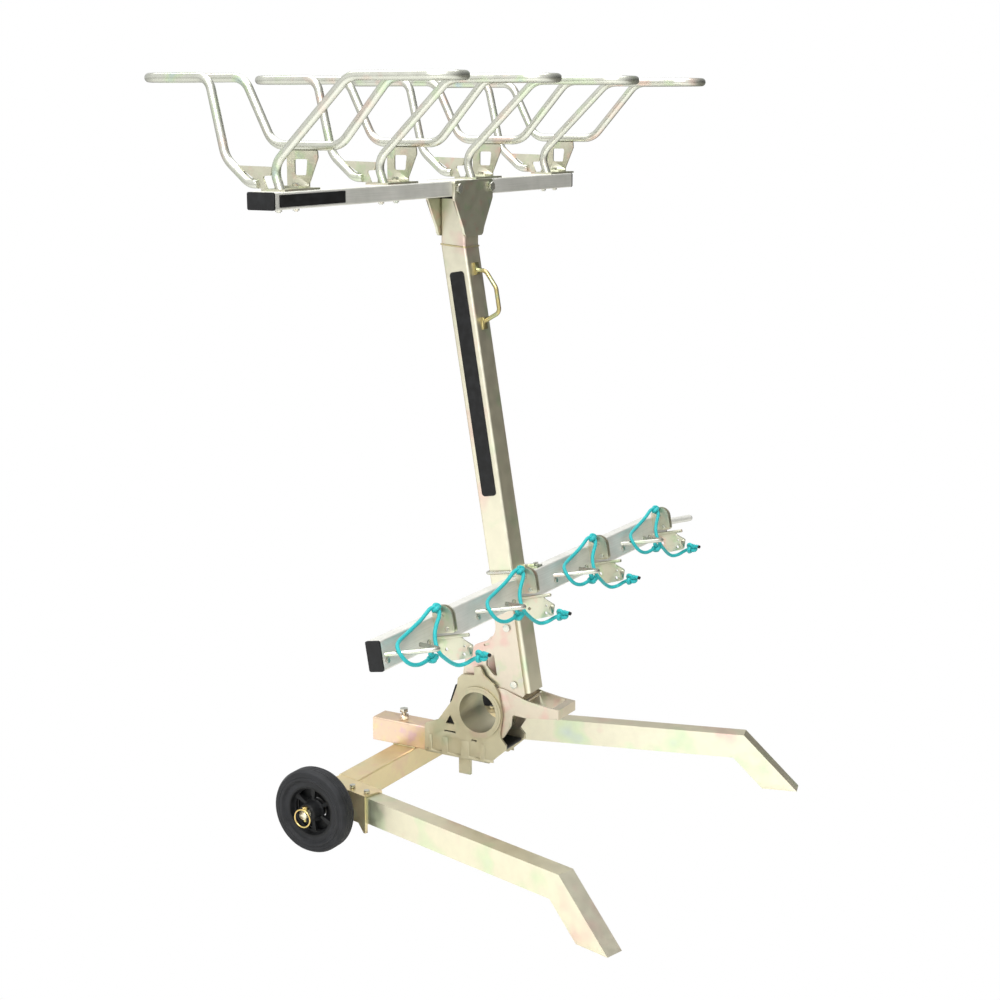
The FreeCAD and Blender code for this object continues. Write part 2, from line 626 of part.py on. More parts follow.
def mast_tube():
    length = MITRE_Z / math.cos(LEAN_R) + 60 - MAST_BOTTOM
    tube = square_tube(length, MAST_SIZE, MAST_SIZE, TUBE_WALL, 6.0)
    tube.rotate(Vector(0, 0, 0), Vector(0, 1, 0), -90)
    tube.translate(Vector(0, 0, MAST_BOTTOM))
    return lean(tube).cut(mitre_blade(True))


def mast_stub():
    length = BAR_BOTTOM - STUB_CAP - MITRE_Z + 60
    tube = square_tube(length, MAST_SIZE, MAST_SIZE, TUBE_WALL, 6.0)
    tube.rotate(Vector(0, 0, 0), Vector(0, 1, 0), -90)
    tube.translate(Vector(0, BAR_Y, MITRE_Z - 60))
    return tube.cut(mitre_blade(False))


def stub_cap():
    half = MAST_SIZE / 2 - 0.5
    low = BAR_BOTTOM - STUB_CAP
    cap = box((-half, half), (BAR_Y - half, BAR_Y + half), (low, BAR_BOTTOM))
    inner = MAST_SIZE / 2 - TUBE_WALL - 1.0
    plug = box((-inner, inner), (BAR_Y - inner, BAR_Y + inner), (low - 14, low))
    return fuse([cap, plug])


def side_plate_outline():
    """Side view of a mast side plate, in the modelling frame: strap up the mast, boss round the pivot."""
    top_back = on_mast(0, SIDE_PLATE_TOP, -FACE)
    top_front = on_mast(0, SIDE_PLATE_TOP, FACE - 10)
    low_front = on_mast(0, MAST_BOTTOM - 2, FACE - 12)
    throat = on_mast(0, 478.0, -FACE)
    return [(top_back.y, top_back.z, 10), (throat.y, throat.z, 40), (-206.0, 440.0, 16), (-178.0, 404.0, 14),
            (-170.0, 356.0, 20), (PIVOT_Y + BOSS_RADIUS * 0.8, PIVOT_Z + BOSS_RADIUS * 0.6, 0),
            (PIVOT_Y + BOSS_RADIUS, PIVOT_Z, 0),
            (PIVOT_Y + BOSS_RADIUS * 0.7, PIVOT_Z - BOSS_RADIUS * 0.7, 0),
            (PIVOT_Y, PIVOT_Z - BOSS_RADIUS, 0),
            (PIVOT_Y - BOSS_RADIUS * 0.7, PIVOT_Z - BOSS_RADIUS * 0.7, 0),
            (PIVOT_Y - BOSS_RADIUS - 4, PIVOT_Z + 10, 10), (low_front.y, low_front.z, 10),
            (top_front.y, top_front.z, 10)]


def side_plate(side):
    plate = yz_sheet(FACE, side_plate_outline(), SIDE_PLATE)
    x = FACE - 1
    bore = cylinder(Vector(x, PIVOT_Y, PIVOT_Z), Vector(x + SIDE_PLATE + 2, PIVOT_Y, PIVOT_Z),
                    PIPE_OUTER + 2 * PIVOT_CLEARANCE)
    window = yz_sheet(x, [(-237.0, 417.0, 3), (-257.0, 421.0, 3), (-266.0, 370.0, 3), (-258.0, 370.0, 3),
                          (-236.0, 392.0, 3)], SIDE_PLATE + 2)
    slot = yz_sheet(x, [(-228.0, 444.0, 2), (-244.0, 450.0, 2), (-246.0, 445.0, 2), (-230.0, 439.0, 2)],
                    SIDE_PLATE + 2)
    plate = cut(plate, [bore, window, slot])
    return plate if side > 0 else mirrored(plate)


def side_plate_bolts():
    shapes = []
    for station, offset in ((361.0, -5.0), (500.0, -2.0)):
        a = on_mast(-PLATE_OUT, station, offset)
        b = on_mast(PLATE_OUT, station, offset)
        axis = Vector(1, 0, 0)
        shank = cylinder(a - axis * 2, b + axis * 2, 10.0)
        heads = [cylinder(a - axis * 4, a, 18.0), cylinder(b, b + axis * 4, 18.0)]
        shapes.append(fuse([shank] + heads))
    return shapes


def gusset(front):
    """Trapezoid plate that ties the top bar to the stub."""
    y = BAR_Y - MAST_SIZE / 2 - GUSSET if front else BAR_Y + MAST_SIZE / 2
    top, waist, foot = BAR_TOP, BAR_BOTTOM - 8, MITRE_Z + 22
    wide, narrow = GUSSET_WIDTH / 2, GUSSET_FOOT_WIDTH / 2
    outline = [(-wide, top, 6), (wide, top, 6), (wide, waist, 8), (narrow, foot + 18, 30),
               (narrow - 6, foot, 12), (-narrow + 6, foot, 12), (-narrow, foot + 18, 30), (-wide, waist, 8)]
    corners = [Vector(x, y, z) for x, z, r in outline]
    return sheet(corners, [r for x, z, r in outline], Vector(0, GUSSET, 0))


def gusset_bolts():
    shapes = []
    reach = MAST_SIZE / 2 + GUSSET
    for side in (-1, 1):
        x = side * GUSSET_BOLT_SPACING / 2
        head = Vector(x, BAR_Y - reach, TOP_BAR_Z)
        nut = Vector(x, BAR_Y + reach, TOP_BAR_Z)
        shapes.append(bolt(head, nut, GUSSET_BOLT, 19.0, 8.0, 10.0))
    return shapes


def top_bar():
    bar = square_tube(TOP_BAR_RIGHT - TOP_BAR_LEFT, BAR_DEPTH, BAR_HEIGHT, TUBE_WALL, 4.0)
    bar.translate(Vector(TOP_BAR_LEFT, BAR_Y, TOP_BAR_Z))
    return bar


def cap(depth, height, outward):
    """End cap as a plate with a plug, for a tube end at X = 0; outward is -1 or 1."""
    plate = square_bar(CAP_THICKNESS, depth, height, 4.0)
    if outward < 0:
        plate.translate(Vector(-CAP_THICKNESS, 0, 0))
    plug = square_bar(CAP_PLUG, depth - 2 * TUBE_WALL - 0.6, height - 2 * TUBE_WALL - 0.6, 1.0)
    if outward > 0:
        plug.translate(Vector(-CAP_PLUG, 0, 0))
    return fuse([plate, plug])


def square_bar(length, width, height, radius):
    ys = [-width / 2, width / 2, width / 2, -width / 2]
    zs = [-height / 2, -height / 2, height / 2, height / 2]
    corners = [Vector(0, y, z) for y, z in zip(ys, zs)]
    return sheet(corners, [radius] * 4, Vector(length, 0, 0))


def top_caps():
    shapes = []
    for x, outward in ((TOP_BAR_LEFT, -1), (TOP_BAR_RIGHT, 1)):
        shape = cap(BAR_DEPTH, BAR_HEIGHT, outward)
        shape.translate(Vector(x, BAR_Y, TOP_BAR_Z))
        shapes.append(shape)
    return shapes


def label_plates():
    """Two blank black name plates: one on the top bar's front, one up the mast's near side."""
    z = BAR_LABEL_HEIGHT / 2
    left = TOP_BAR_LEFT + BAR_LABEL_INSET
    right = left + BAR_LABEL_LENGTH
    corners = [Vector(x, BAR_Y - BAR_DEPTH / 2, TOP_BAR_Z + dz)
               for x, dz in ((left, -z), (right, -z), (right, z), (left, z))]
    bar_label = sheet(corners, [2] * 4, Vector(0, -LABEL_THICKNESS, 0))
    half = MAST_LABEL_WIDTH / 2
    top = MITRE_STATION - MAST_LABEL_DROP
    bottom = top - MAST_LABEL_LENGTH
    outline = [(-half, bottom, 8), (half, bottom, 8), (half, top, 8), (-half, top, 8)]
    mast_label = mast_sheet(-FACE - LABEL_THICKNESS, outline, LABEL_THICKNESS)
    return [bar_label, mast_label]


def handle():
    out = FACE + HANDLE_REACH
    foot = FACE + 4
    top = MITRE_STATION - HANDLE_DROP
    bottom = top - HANDLE_LENGTH
    stations = [(top, foot, 0), (top - 4, FACE + 26, 18), (top - 46, out, 24),
                (bottom + 16, out, 16), (bottom, foot, 0)]
    grip = rod([on_mast(0, s, o) for s, o, r in stations], [r for s, o, r in stations], HANDLE_DIAMETER)
    feet = []
    for station in (top + 4, bottom - 4):
        feet.append(lean(box((-9, 9), (-FACE - 5, -FACE), (station - 14, station + 14))))
    return fuse([grip] + feet)


# ---- front wheel hoops -------------------------------------------------------------------------
def hoop(centre):
    """One bent rod: near rail's back half, back end, far rail, front end, near rail's front half."""
    near, far = centre - RAIL_SPACING / 2, centre + RAIL_SPACING / 2
    plate_top = BASE_PLATE
    level, dip = HOOP_LEVEL, HOOP_DIP
    end_bend = RAIL_SPACING / 2 - 4
    route = [(near, 44.0, plate_top + ROD / 2, 0), (near, 66.0, plate_top + ROD / 2, 34),
             (near, 124.0, 62.0, 60), (near, 161.0, level, 30),
             (near, HOOP_BACK, level, end_bend), (far, HOOP_BACK, level, end_bend),
             (far, 146.0, level, 42), (far, 77.0, dip, 45), (far, -87.0, dip, 50), (far, -206.0, level, 48),
             (far, HOOP_FRONT, level, end_bend), (near, HOOP_FRONT, level, end_bend),
             (near, -174.0, level, 54), (near, 8.0, 47.5, 42), (near, -12.0, -6.0, 0)]
    points = [Vector(x, BAR_Y + y, BAR_TOP + z) for x, y, z, r in route]
    bent = rod(points, [r for x, y, z, r in route], ROD)
    under = box((near - 30, near + 30), (BAR_Y - 60, BAR_Y + 60), (BAR_TOP - 60, BAR_TOP + plate_top))
    return bent.cut(under)


def hoop_bracket(centre, bent):
    """Base plate with a fan plate between the near rods and a window plate under the far rail."""
    near, far = centre - RAIL_SPACING / 2, centre + RAIL_SPACING / 2
    base = box((near - 12, far + 12), (BAR_Y - 28, BAR_Y + 30), (BAR_TOP, BAR_TOP + BASE_PLATE))
    t = BASE_PLATE
    fan = [(112.0, 49.0, 0), (8.0, 47.0, 0), (14.0, 30.0, 2), (34.0, 29.0, 4), (22.0, t, 0), (44.0, t, 0),
           (58.0, 26.0, 6), (76.0, 37.0, 10), (98.0, 40.0, 0)]
    fan = yz_sheet(near - t / 2, [(BAR_Y + y, BAR_TOP + z, r) for y, z, r in fan], t)
    rest = HOOP_DIP - ROD / 2
    window = [(42.0, rest, 3), (-33.0, rest, 3), (-34.0, rest - 14, 3), (-12.0, 12.0, 4),
              (-12.0, t, 0), (42.0, t, 0)]
    window = yz_sheet(far - t, [(BAR_Y + y, BAR_TOP + z, r) for y, z, r in window], t)
    opening = [(23.0, 60.0, 4), (-9.0, 60.0, 4), (-5.0, 28.0, 4), (23.0, 28.0, 4)]
    opening = yz_sheet(far - t - 1, [(BAR_Y + y, BAR_TOP + z, r) for y, z, r in opening], t + 2)
    foot = box((far - 40, far), (BAR_Y - 12, BAR_Y + 30), (BAR_TOP, BAR_TOP + 2 * t))
    return fuse([base, fan.cut(bent), window.cut(opening), foot])


def hoop_bolts():
    shapes = []
    for centre in HOOP_CENTRES:
        for side, stack in ((-1, BASE_PLATE), (1, 2 * BASE_PLATE)):
            x = centre + side * HOOP_BOLT_SPACING / 2
            head = Vector(x, BAR_Y + HOOP_BOLT_Y, BAR_TOP + stack)
            nut = Vector(x, BAR_Y + HOOP_BOLT_Y, BAR_BOTTOM)
            shapes.append(bolt(head, nut, HOOP_BOLT, 13.0, 5.5, 6.5))
    return shapes


# ---- lower bar and cradles ---------------------------------------------------------------------
def upright_point(x, station, offset):
    return Vector(x, -offset, station)


def lower_bar():
    bar = square_tube(LOWER_BAR_RIGHT - LOWER_BAR_LEFT, BAR_HEIGHT, BAR_DEPTH, TUBE_WALL, 4.0)
    bar.translate(Vector(LOWER_BAR_LEFT, -(FACE + BAR_HEIGHT / 2), LOWER_BAR_STATION))
    return lean(bar)


def lower_caps():
    shapes = []
    for x, outward in ((LOWER_BAR_LEFT, -1), (LOWER_BAR_RIGHT, 1)):
        shape = cap(BAR_HEIGHT, BAR_DEPTH, outward)
        shape.translate(Vector(x, -(FACE + BAR_HEIGHT / 2), LOWER_BAR_STATION))
        shapes.append(lean(shape))
    return shapes


def end_rod():
    """Round bar that stands out of the lower bar's far end cap."""
    start = upright_point(LOWER_BAR_RIGHT + CAP_THICKNESS, LOWER_BAR_STATION - 4, FACE + BAR_HEIGHT / 2)
    elbow = start + Vector(34.0, 0, 0)
    tip = start + Vector(END_ROD_LENGTH, -34.0, -6.0)
    shaft = rod([start, elbow, tip], [0, 40, 0], END_ROD)
    nose = Part.makeSphere(END_ROD / 2, tip)
    return lean(fuse([shaft, nose]))


def u_bolt():
    """Round bar bent round the back of the mast, welded to two ears that lie on the lower bar."""
    low = LOWER_BAR_STATION + BAR_DEPTH / 2
    level = low + U_EAR_SHEET + U_ROD / 4
    side = FACE + U_ROD_GAP + U_ROD / 2
    bend = U_ROD + 1
    forward = FACE + 0.6 * BAR_HEIGHT
    points = [upright_point(-side, level, forward), upright_point(-side, level, -side),
              upright_point(side, level, -side), upright_point(side, level, forward)]
    bar = rod(points, [0, bend, bend, 0], U_ROD)
    ears = []
    for s in (-1, 1):
        x = sorted((s * (FACE + U_ROD_GAP), s * (FACE + U_EAR)))
        ears.append(box(x, (-BAR_FACE + 5, -FACE - 1), (low, low + U_EAR_SHEET)))
    return lean(fuse([bar] + ears))


def u_bolt_screws():
    shapes = []
    low = LOWER_BAR_STATION + BAR_DEPTH / 2
    for s in (-1, 1):
        base = Vector(s * (FACE + 0.7 * U_EAR), -(FACE + BAR_HEIGHT / 2), low + U_EAR_SHEET)
        shank = cylinder(base - Vector(0, 0, U_EAR_SHEET + TUBE_WALL + 8), base + Vector(0, 0, 3), U_BOLT)
        shapes.append(lean(fuse([shank, hexagon(base, Vector(0, 0, 1), 12.0, 6.0)])))
    return shapes


def wheel_loop(lug):
    """Rod bent to a wide U that the rope hooks round; both ends are welded in the bar's front wall."""
    root = BAR_FACE - TUBE_WALL
    middle = LOWER_BAR_STATION
    tip = upright_point(lug + LOOP_TIP, middle + LOOP_TIP_LEVEL, BAR_FACE + LOOP_REACH)
    near = upright_point(lug + LOOP_NEAR[0], middle + LOOP_NEAR[1], root)
    far = upright_point(lug + LOOP_FAR[0], middle + LOOP_FAR[1], root)
    return lean(rod([near, tip, far], [0, LOOP_BEND, 0], LOOP_ROD))


def rope_lug(lug):
    """Folded sheet lug: two cheeks with round tops and a web against the bar."""
    bottom = LOWER_BAR_STATION - LUG_DROP
    shoulder = LOWER_BAR_STATION + BAR_DEPTH / 2
    top = shoulder + LUG_ABOVE
    outline = [(BAR_FACE, bottom, 2), (BAR_FACE + LUG_REACH, bottom, 6),
               (BAR_FACE + LUG_REACH, top, LUG_RADIUS - 3), (BAR_FACE, top, LUG_RADIUS - 6),
               (BAR_FACE, shoulder, 0)]
    cheeks = []
    for x in (lug, lug + LUG_WIDTH - LUG_SHEET):
        cheeks.append(mast_sheet(x, outline, LUG_SHEET))
    web = lean(box((lug, lug + LUG_WIDTH), (-BAR_FACE - LUG_SHEET, -BAR_FACE), (bottom, shoulder - 3)))
    return fuse(cheeks + [web])


def lug_pins(lug):
    shapes = []
    head = 3.0
    for offset, level in ((22.0, 34.7), (33.0, 4.7)):
        a = on_mast(lug - head, LOWER_BAR_STATION + level, BAR_FACE + offset)
        b = on_mast(lug + LUG_WIDTH + head, LOWER_BAR_STATION + level, BAR_FACE + offset)
        pin = [cylinder(a, b, LUG_PIN)]
        pin.append(cylinder(a, a + Vector(head, 0, 0), LUG_PIN_HEAD))
        pin.append(cylinder(b - Vector(head, 0, 0), b, LUG_PIN_HEAD))
        shapes.append(fuse(pin))
    return shapes


def guard_rod(lug):
    x = lug + LUG_WIDTH / 2
    root = upright_point(x, LOWER_BAR_STATION + GUARD_ROOT, BAR_FACE - TUBE_WALL)
    tip = upright_point(x, LOWER_BAR_STATION + GUARD_TIP, BAR_FACE + GUARD_REACH)
    return lean(cylinder(root, tip, GUARD_ROD))


def rope_guard(lug):
    """Guard rod with a leaf-shaped plate welded under it and a fold at the leaf's tip."""
    x = lug + (LUG_WIDTH - LEAF) / 2
    middle = LOWER_BAR_STATION
    outline = [(0.0, -19.0, 0), (60.0, -14.0, 3), (66.0, -21.0, 6), (87.0, -34.0, 5), (79.0, -60.0, 8),
               (30.0, -67.0, 12), (0.0, -44.0, 6)]
    plate = mast_sheet(x, [(BAR_FACE + o, middle + s, r) for o, s, r in outline], LEAF)
    fold = lean(box((x - LEAF_FOLD, x + 1), (-BAR_FACE - 82.0, -BAR_FACE - 78.5),
                    (middle - 52.0, middle - 36.0)))
    holes = []
    for offset, level, size in ((20.0, -41.0, 8.0), (66.0, -35.0, 5.0), (62.0, -53.0, 8.0)):
        a = on_mast(x - 1, middle + level, BAR_FACE + offset)
        holes.append(cylinder(a, a + Vector(LEAF + 2, 0, 0), size))
    return fuse([cut(plate, holes), guard_rod(lug), fold])


def cradle_bolts():
    """Small screws beside each loop's near root and beside the lug."""
    shapes = []
    for lug in CRADLES:
        for dx, level in ((-191.0, -13.0), (-30.0, -16.0)):
            face = on_mast(lug + dx, LOWER_BAR_STATION + level, BAR_FACE)
            out = on_mast(lug + dx, LOWER_BAR_STATION + level, BAR_FACE + 1) - face
            shank = cylinder(face - out * 12, face + out * 2, 6.0)
            shapes.append(fuse([shank, hexagon(face, out, 10.0, 5.0)]))
    return shapes


# Each rope's route at its own cradle: across from the lug's near face, up from the bar's middle and out
# from the bar's face.
ROPE_ROUTE = [(-108.0, -32.0, 50.0), (-126.0, -36.0, 46.0), (-146.0, -36.0, 42.0), (-165.0, -29.0, 38.0),
              (-179.0, -15.0, 34.0), (-184.0, 2.0, 28.0), (-175.0, 14.0, 19.0), (-152.0, 19.0, 11.0),
              (-122.0, 24.0, 8.5), (-90.0, 31.0, 8.0), (-60.0, 39.0, 9.0), (-38.0, 48.0, 10.0),
              (-22.0, 56.0, 12.0), (-11.0, 57.0, 19.0), (-10.0, 47.0, 27.0), (-20.0, 36.0, 30.0),
              (-34.0, 22.0, 29.0), (-47.0, 9.0, 31.0), (-58.0, -5.0, 36.0), (-67.0, -20.0, 44.0),
              (-66.0, -34.0, 49.0),
              (-52.0, -45.0, 49.0), (-34.0, -56.0, 45.0), (-16.0, -67.0, 43.0), (2.0, -77.0, 46.0),
              (17.0, -76.0, 58.0), (20.0, -67.0, 74.0), (15.0, -62.0, 91.0)]
LOOP_KNOT = (-104.0, -31.0, 54.0)
LUG_KNOT = (-10.5, 52.0, 20.0)
END_KNOT = (14.0, -60.0, 98.0)


def rope_point(lug, point):
    across, level, out = point
    return on_mast(lug + across, LOWER_BAR_STATION + level, BAR_FACE + out)


def rope_points(lug):
    return [rope_point(lug, point) for point in ROPE_ROUTE]


def cord_tube(points, diameter):
    """A tube of straight runs and tangent arcs, each arc as large as its two runs allow."""
    radii = [0.0]
    for i in range(1, len(points) - 1):
        before = points[i] - points[i - 1]
        after = points[i + 1] - points[i]
        turn = before.getAngle(after)
        radii.append(0.45 * min(before.Length, after.Length) / math.tan(turn / 2))
    radii.append(0.0)
    tube = rod(points, radii, diameter)
    length = Part.Wire(rounded_edges(points, radii)).Length
    return tube, radii[1:-1], length


def ellipsoid(centre, rx, ry, rz):
    ball = Part.makeSphere(1.0)
    matrix = FreeCAD.Matrix()
    matrix.scale(rx, ry, rz)
    ball = ball.transformGeometry(matrix)
    ball.translate(centre)
    return ball


def rope_knots():
    """The knots on each rope: under the loop, at the lug's top and past the leaf's tip."""
    shapes = []
    for lug in CRADLES:
        shapes.append(ellipsoid(rope_point(lug, LOOP_KNOT), 11.0, 12.0, 10.0))
        shapes.append(ellipsoid(rope_point(lug, LUG_KNOT), 10.0, 9.5, 11.0))
        shapes.append(ellipsoid(rope_point(lug, END_KNOT), 11.5, 14.0, 14.0))
    return shapes


# ---- pedal -------------------------------------------------------------------------------------
def pedal():
    """Two tapering arms that turn on the pivot pipe, a cross plate at their front and a rod between them."""
    inner = PLATE_OUT + PEDAL_GAP
    outer = inner + PEDAL_ARM
    y, z = PIVOT_Y, PIVOT_Z
    tip = y - PEDAL_REACH
    outline = [(y + 38, z + 52, 30), (y - 20, z + 66, 16), (y - 62, z + 66, 14), (y - 127, z + 47, 60),
               (y - 174, z + 40, 30), (tip, z + 37, 3), (tip, z + 15, 3), (tip + 14, z + 12, 10),
               (y - 129, z + 3, 60), (y - 88, z + 5, 6), (y - 85, z - 24, 24), (y - 63, z - 60, 24),
               (y - 19, z - 69, 20), (y + 54, z - 44, 30)]
    x = inner - 1
    hub_at = Vector(inner, y, z)
    hub = cylinder(hub_at, hub_at + Vector(PEDAL_ARM, 0, 0), PIPE_OUTER + 2 * PEDAL_HUB_WALL)
    bore = cylinder(Vector(x, y, z), Vector(x + PEDAL_ARM + 2, y, z), PIPE_OUTER + 2 * PEDAL_CLEARANCE)
    arm = fuse([yz_sheet(inner, outline, PEDAL_ARM), hub]).cut(bore)
    front = yz_sheet(-outer, [(tip, z + 37, 0), (tip - PEDAL_SHEET, z + 37, 0),
                              (tip - PEDAL_SHEET, z + 13, 0), (tip, z + 13, 0)], 2 * outer)
    lip = yz_sheet(-outer, [(tip - PEDAL_SHEET, z + 37, 0), (tip + PEDAL_LIP, z + 38.5, 0),
                            (tip + PEDAL_LIP, z + 35, 0), (tip - PEDAL_SHEET, z + 33, 0)], 2 * outer)
    cross = cylinder(Vector(-outer, y - 116, z + 39), Vector(outer, y - 116, z + 39), PEDAL_ROD)
    return fuse([arm, mirrored(arm), front, lip, cross])


# ---- all pieces --------------------------------------------------------------------------------
def build():
    parts["cross_beam"] = cross_beam()
    right_leg = leg()
    parts["right_leg"] = right_leg
    parts["left_leg"] = mirrored(right_leg)
    right_sleeve = sleeve()
    parts["right_leg_sleeve"] = right_sleeve
    parts["left_leg_sleeve"] = mirrored(right_sleeve)
    parts["sleeve_screws"] = sleeve_bolts()
    parts["receiver_tube"] = receiver()
    parts["receiver_clamp_bolt"] = clamp_bolt()
    for side, name in ((-1, "left"), (1, "right")):
        parts[name + "_axle"] = axle(side)
        parts[name + "_tyre"] = tyre(side)
        parts[name + "_rim"] = rim(side)
    parts["linch_pins"] = [linch_pin(-1), linch_pin(1)]
    parts["tongue"] = tongue()
    parts["left_head_plate"] = head_plate(-1)
    parts["right_head_plate"] = head_plate(1)
    parts["head_block"] = head_block()
    parts["pivot_pipe"] = pivot_pipe()
    parts["pivot_collars"] = collars()
    parts["head_fin"] = fin()
    parts["head_inserts"] = head_inserts()
    parts["mast_tube"] = mast_tube()
    parts["mast_stub"] = mast_stub()
    parts["stub_cap"] = stub_cap()
    parts["left_side_plate"] = side_plate(-1)
    parts["right_side_plate"] = side_plate(1)
    parts["side_plate_bolts"] = side_plate_bolts()
    parts["gusset_plates"] = [gusset(True), gusset(False)]
    parts["gusset_bolts"] = gusset_bolts()
    parts["top_bar"] = top_bar()
    parts["top_bar_caps"] = top_caps()
    parts["label_plates"] = label_plates()
    parts["mast_handle"] = handle()
    for i, centre in enumerate(HOOP_CENTRES):
        bent = hoop(centre)
        parts["wheel_hoop_%d" % (i + 1)] = bent
        parts["hoop_bracket_%d" % (i + 1)] = hoop_bracket(centre, bent)
    parts["hoop_bolts"] = hoop_bolts()
    parts["lower_bar"] = lower_bar()
    parts["lower_bar_caps"] = lower_caps()
    parts["end_rod"] = end_rod()
    parts["u_bolt"] = u_bolt()
    parts["u_bolt_screws"] = u_bolt_screws()
    parts["wheel_loops"] = [wheel_loop(lug) for lug in CRADLES]
    parts["rope_lugs"] = [rope_lug(lug) for lug in CRADLES]
    parts["lug_pins"] = [pin for lug in CRADLES for pin in lug_pins(lug)]
    parts["rope_guards"] = [rope_guard(lug) for lug in CRADLES]
    parts["cradle_screws"] = cradle_bolts()
    for i, lug in enumerate(CRADLES):
        tube, radii, length = cord_tube(rope_points(lug), ROPE)
        parts["rope_%d" % (i + 1)] = tube
    section = math.pi * ROPE ** 2 / 4
    print("rope: length %.1f, volume / (section x length) %.4f" % (length, tube.Volume / (section * length)))
    print("rope radii:", " ".join("%.0f" % r for r in radii))
    parts["rope_knots"] = rope_knots()
    parts["foot_pedal"] = pedal()


def cut_holes(target, tools):
    """Cuts a solid, or each solid of a group, by the solids of another piece."""
    tool_list = parts[tools] if isinstance(parts[tools], list) else [parts[tools]]
    if isinstance(parts[target], list):
        parts[target] = [cut(shape, tool_list) for shape in parts[target]]
    else:
        parts[target] = cut(parts[target], tool_list)


def export():
    os.makedirs("parts", exist_ok=True)
    shapes = {}
    for name, shape in parts.items():
        shapes[name] = Part.makeCompound(shape) if isinstance(shape, list) else shape
    hardware = ("rope_lugs", "rope_guards")
    cords = [name for name in shapes if name.startswith("rope_") and name not in hardware]
    whole = Part.makeCompound([shape for name, shape in shapes.items() if name not in cords])
    bounds = whole.optimalBoundingBox(True, False)
    centre = Vector((bounds.XMin + bounds.XMax) / 2, (bounds.YMin + bounds.YMax) / 2, 0)
    print("origin in the modelling frame: %.4f %.4f" % (centre.x, centre.y))
    print("size: %.1f %.1f %.1f" % (bounds.XLength, bounds.YLength, bounds.ZLength))
    print("lowest point: %.4f" % bounds.ZMin)
    for name, shape in shapes.items():
        shape = shape.copy()
        shape.translate(Vector(-centre.x, -centre.y, 0))
        for solid in shape.Solids:
            if not solid.isValid() or solid.Volume <= 0:
                print("faulty solid in", name)
        shape.exportStep("parts/%s.step" % name)
    print(len(shapes), "nodes")


build()
for bolted in ["top_bar", "top_bar_caps"] + ["hoop_bracket_%d" % (i + 1) for i in range(BIKES)]:
    cut_holes(bolted, "hoop_bolts")
for bolted in ("top_bar", "gusset_plates"):
    cut_holes(bolted, "gusset_bolts")
for bolted in ("mast_tube", "left_side_plate", "right_side_plate"):
    cut_holes(bolted, "side_plate_bolts")
cut_holes("lower_bar", "u_bolt_screws")
cut_holes("u_bolt", "u_bolt_screws")
for bolted in ("lower_bar", "lower_bar_caps"):
    cut_holes(bolted, "cradle_screws")
    cut_holes(bolted, "wheel_loops")
cut_holes("lower_bar", "rope_guards")
cut_holes("rope_lugs", "lug_pins")
for side_name in ("left", "right"):
    cut_holes(side_name + "_leg_sleeve", "sleeve_screws")
export()
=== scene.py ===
"""Looks of a vertical bicycle rack parked in its wheeled storage stand.

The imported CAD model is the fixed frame. This script gives every visible node a skin with soft shading, adds
the ropes with their knots, the weld seams and the backs of the rims, dresses everything in procedural
finishes and sets the studio.
"""

import json
import logging
import math
from dataclasses import dataclass, field
from enum import Enum
from typing import Callable, Iterable, Sequence

import bpy
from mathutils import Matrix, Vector

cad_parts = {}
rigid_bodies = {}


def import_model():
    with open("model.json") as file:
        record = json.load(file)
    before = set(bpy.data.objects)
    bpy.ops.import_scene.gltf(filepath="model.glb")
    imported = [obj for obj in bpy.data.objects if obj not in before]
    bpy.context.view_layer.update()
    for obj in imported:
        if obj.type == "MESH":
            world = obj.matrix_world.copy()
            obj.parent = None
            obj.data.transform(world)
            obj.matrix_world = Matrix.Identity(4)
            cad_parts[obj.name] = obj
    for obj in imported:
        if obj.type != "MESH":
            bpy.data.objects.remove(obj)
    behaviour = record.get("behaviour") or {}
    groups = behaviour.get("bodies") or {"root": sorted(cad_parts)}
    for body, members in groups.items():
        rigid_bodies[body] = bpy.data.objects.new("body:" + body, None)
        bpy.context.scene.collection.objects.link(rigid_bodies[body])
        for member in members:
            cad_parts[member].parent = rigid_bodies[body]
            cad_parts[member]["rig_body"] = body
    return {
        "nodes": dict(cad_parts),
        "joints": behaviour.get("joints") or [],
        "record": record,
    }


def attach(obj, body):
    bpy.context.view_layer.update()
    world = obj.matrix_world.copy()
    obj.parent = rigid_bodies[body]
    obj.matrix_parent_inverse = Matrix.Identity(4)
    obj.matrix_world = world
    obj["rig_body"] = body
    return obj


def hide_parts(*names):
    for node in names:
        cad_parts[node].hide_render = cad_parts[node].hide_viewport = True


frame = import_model()

log = logging.getLogger("bicycle_rack")

MM = 0.001
RELIEF_DEPTH = 0.10  # share of a tube's radius that its relief takes

# The maker's drawing frame, in millimetres: X along the bars from the mast's middle, the bicycles' side at -Y
# and Z up from the floor. Stations run along the leaning mast from where its axis meets the floor.
PIVOT_ON_DRAWING = (0.0, -221.0, 276.0)
MAST_ROOT_Y = -376.7
LEAN = math.radians(9.5)
MAST_FACE = 32.5
MITRE_Z = 1385.0
MITRE_Y = MAST_ROOT_Y + MITRE_Z * math.tan(LEAN)
BAR_FACE = 67.5
LOWER_BAR_STATION = 594.3
BIKES = 4
PITCH = 370.0
FIRST_CRADLE = -448.0
CRADLES = [FIRST_CRADLE + PITCH * i for i in range(BIKES)]


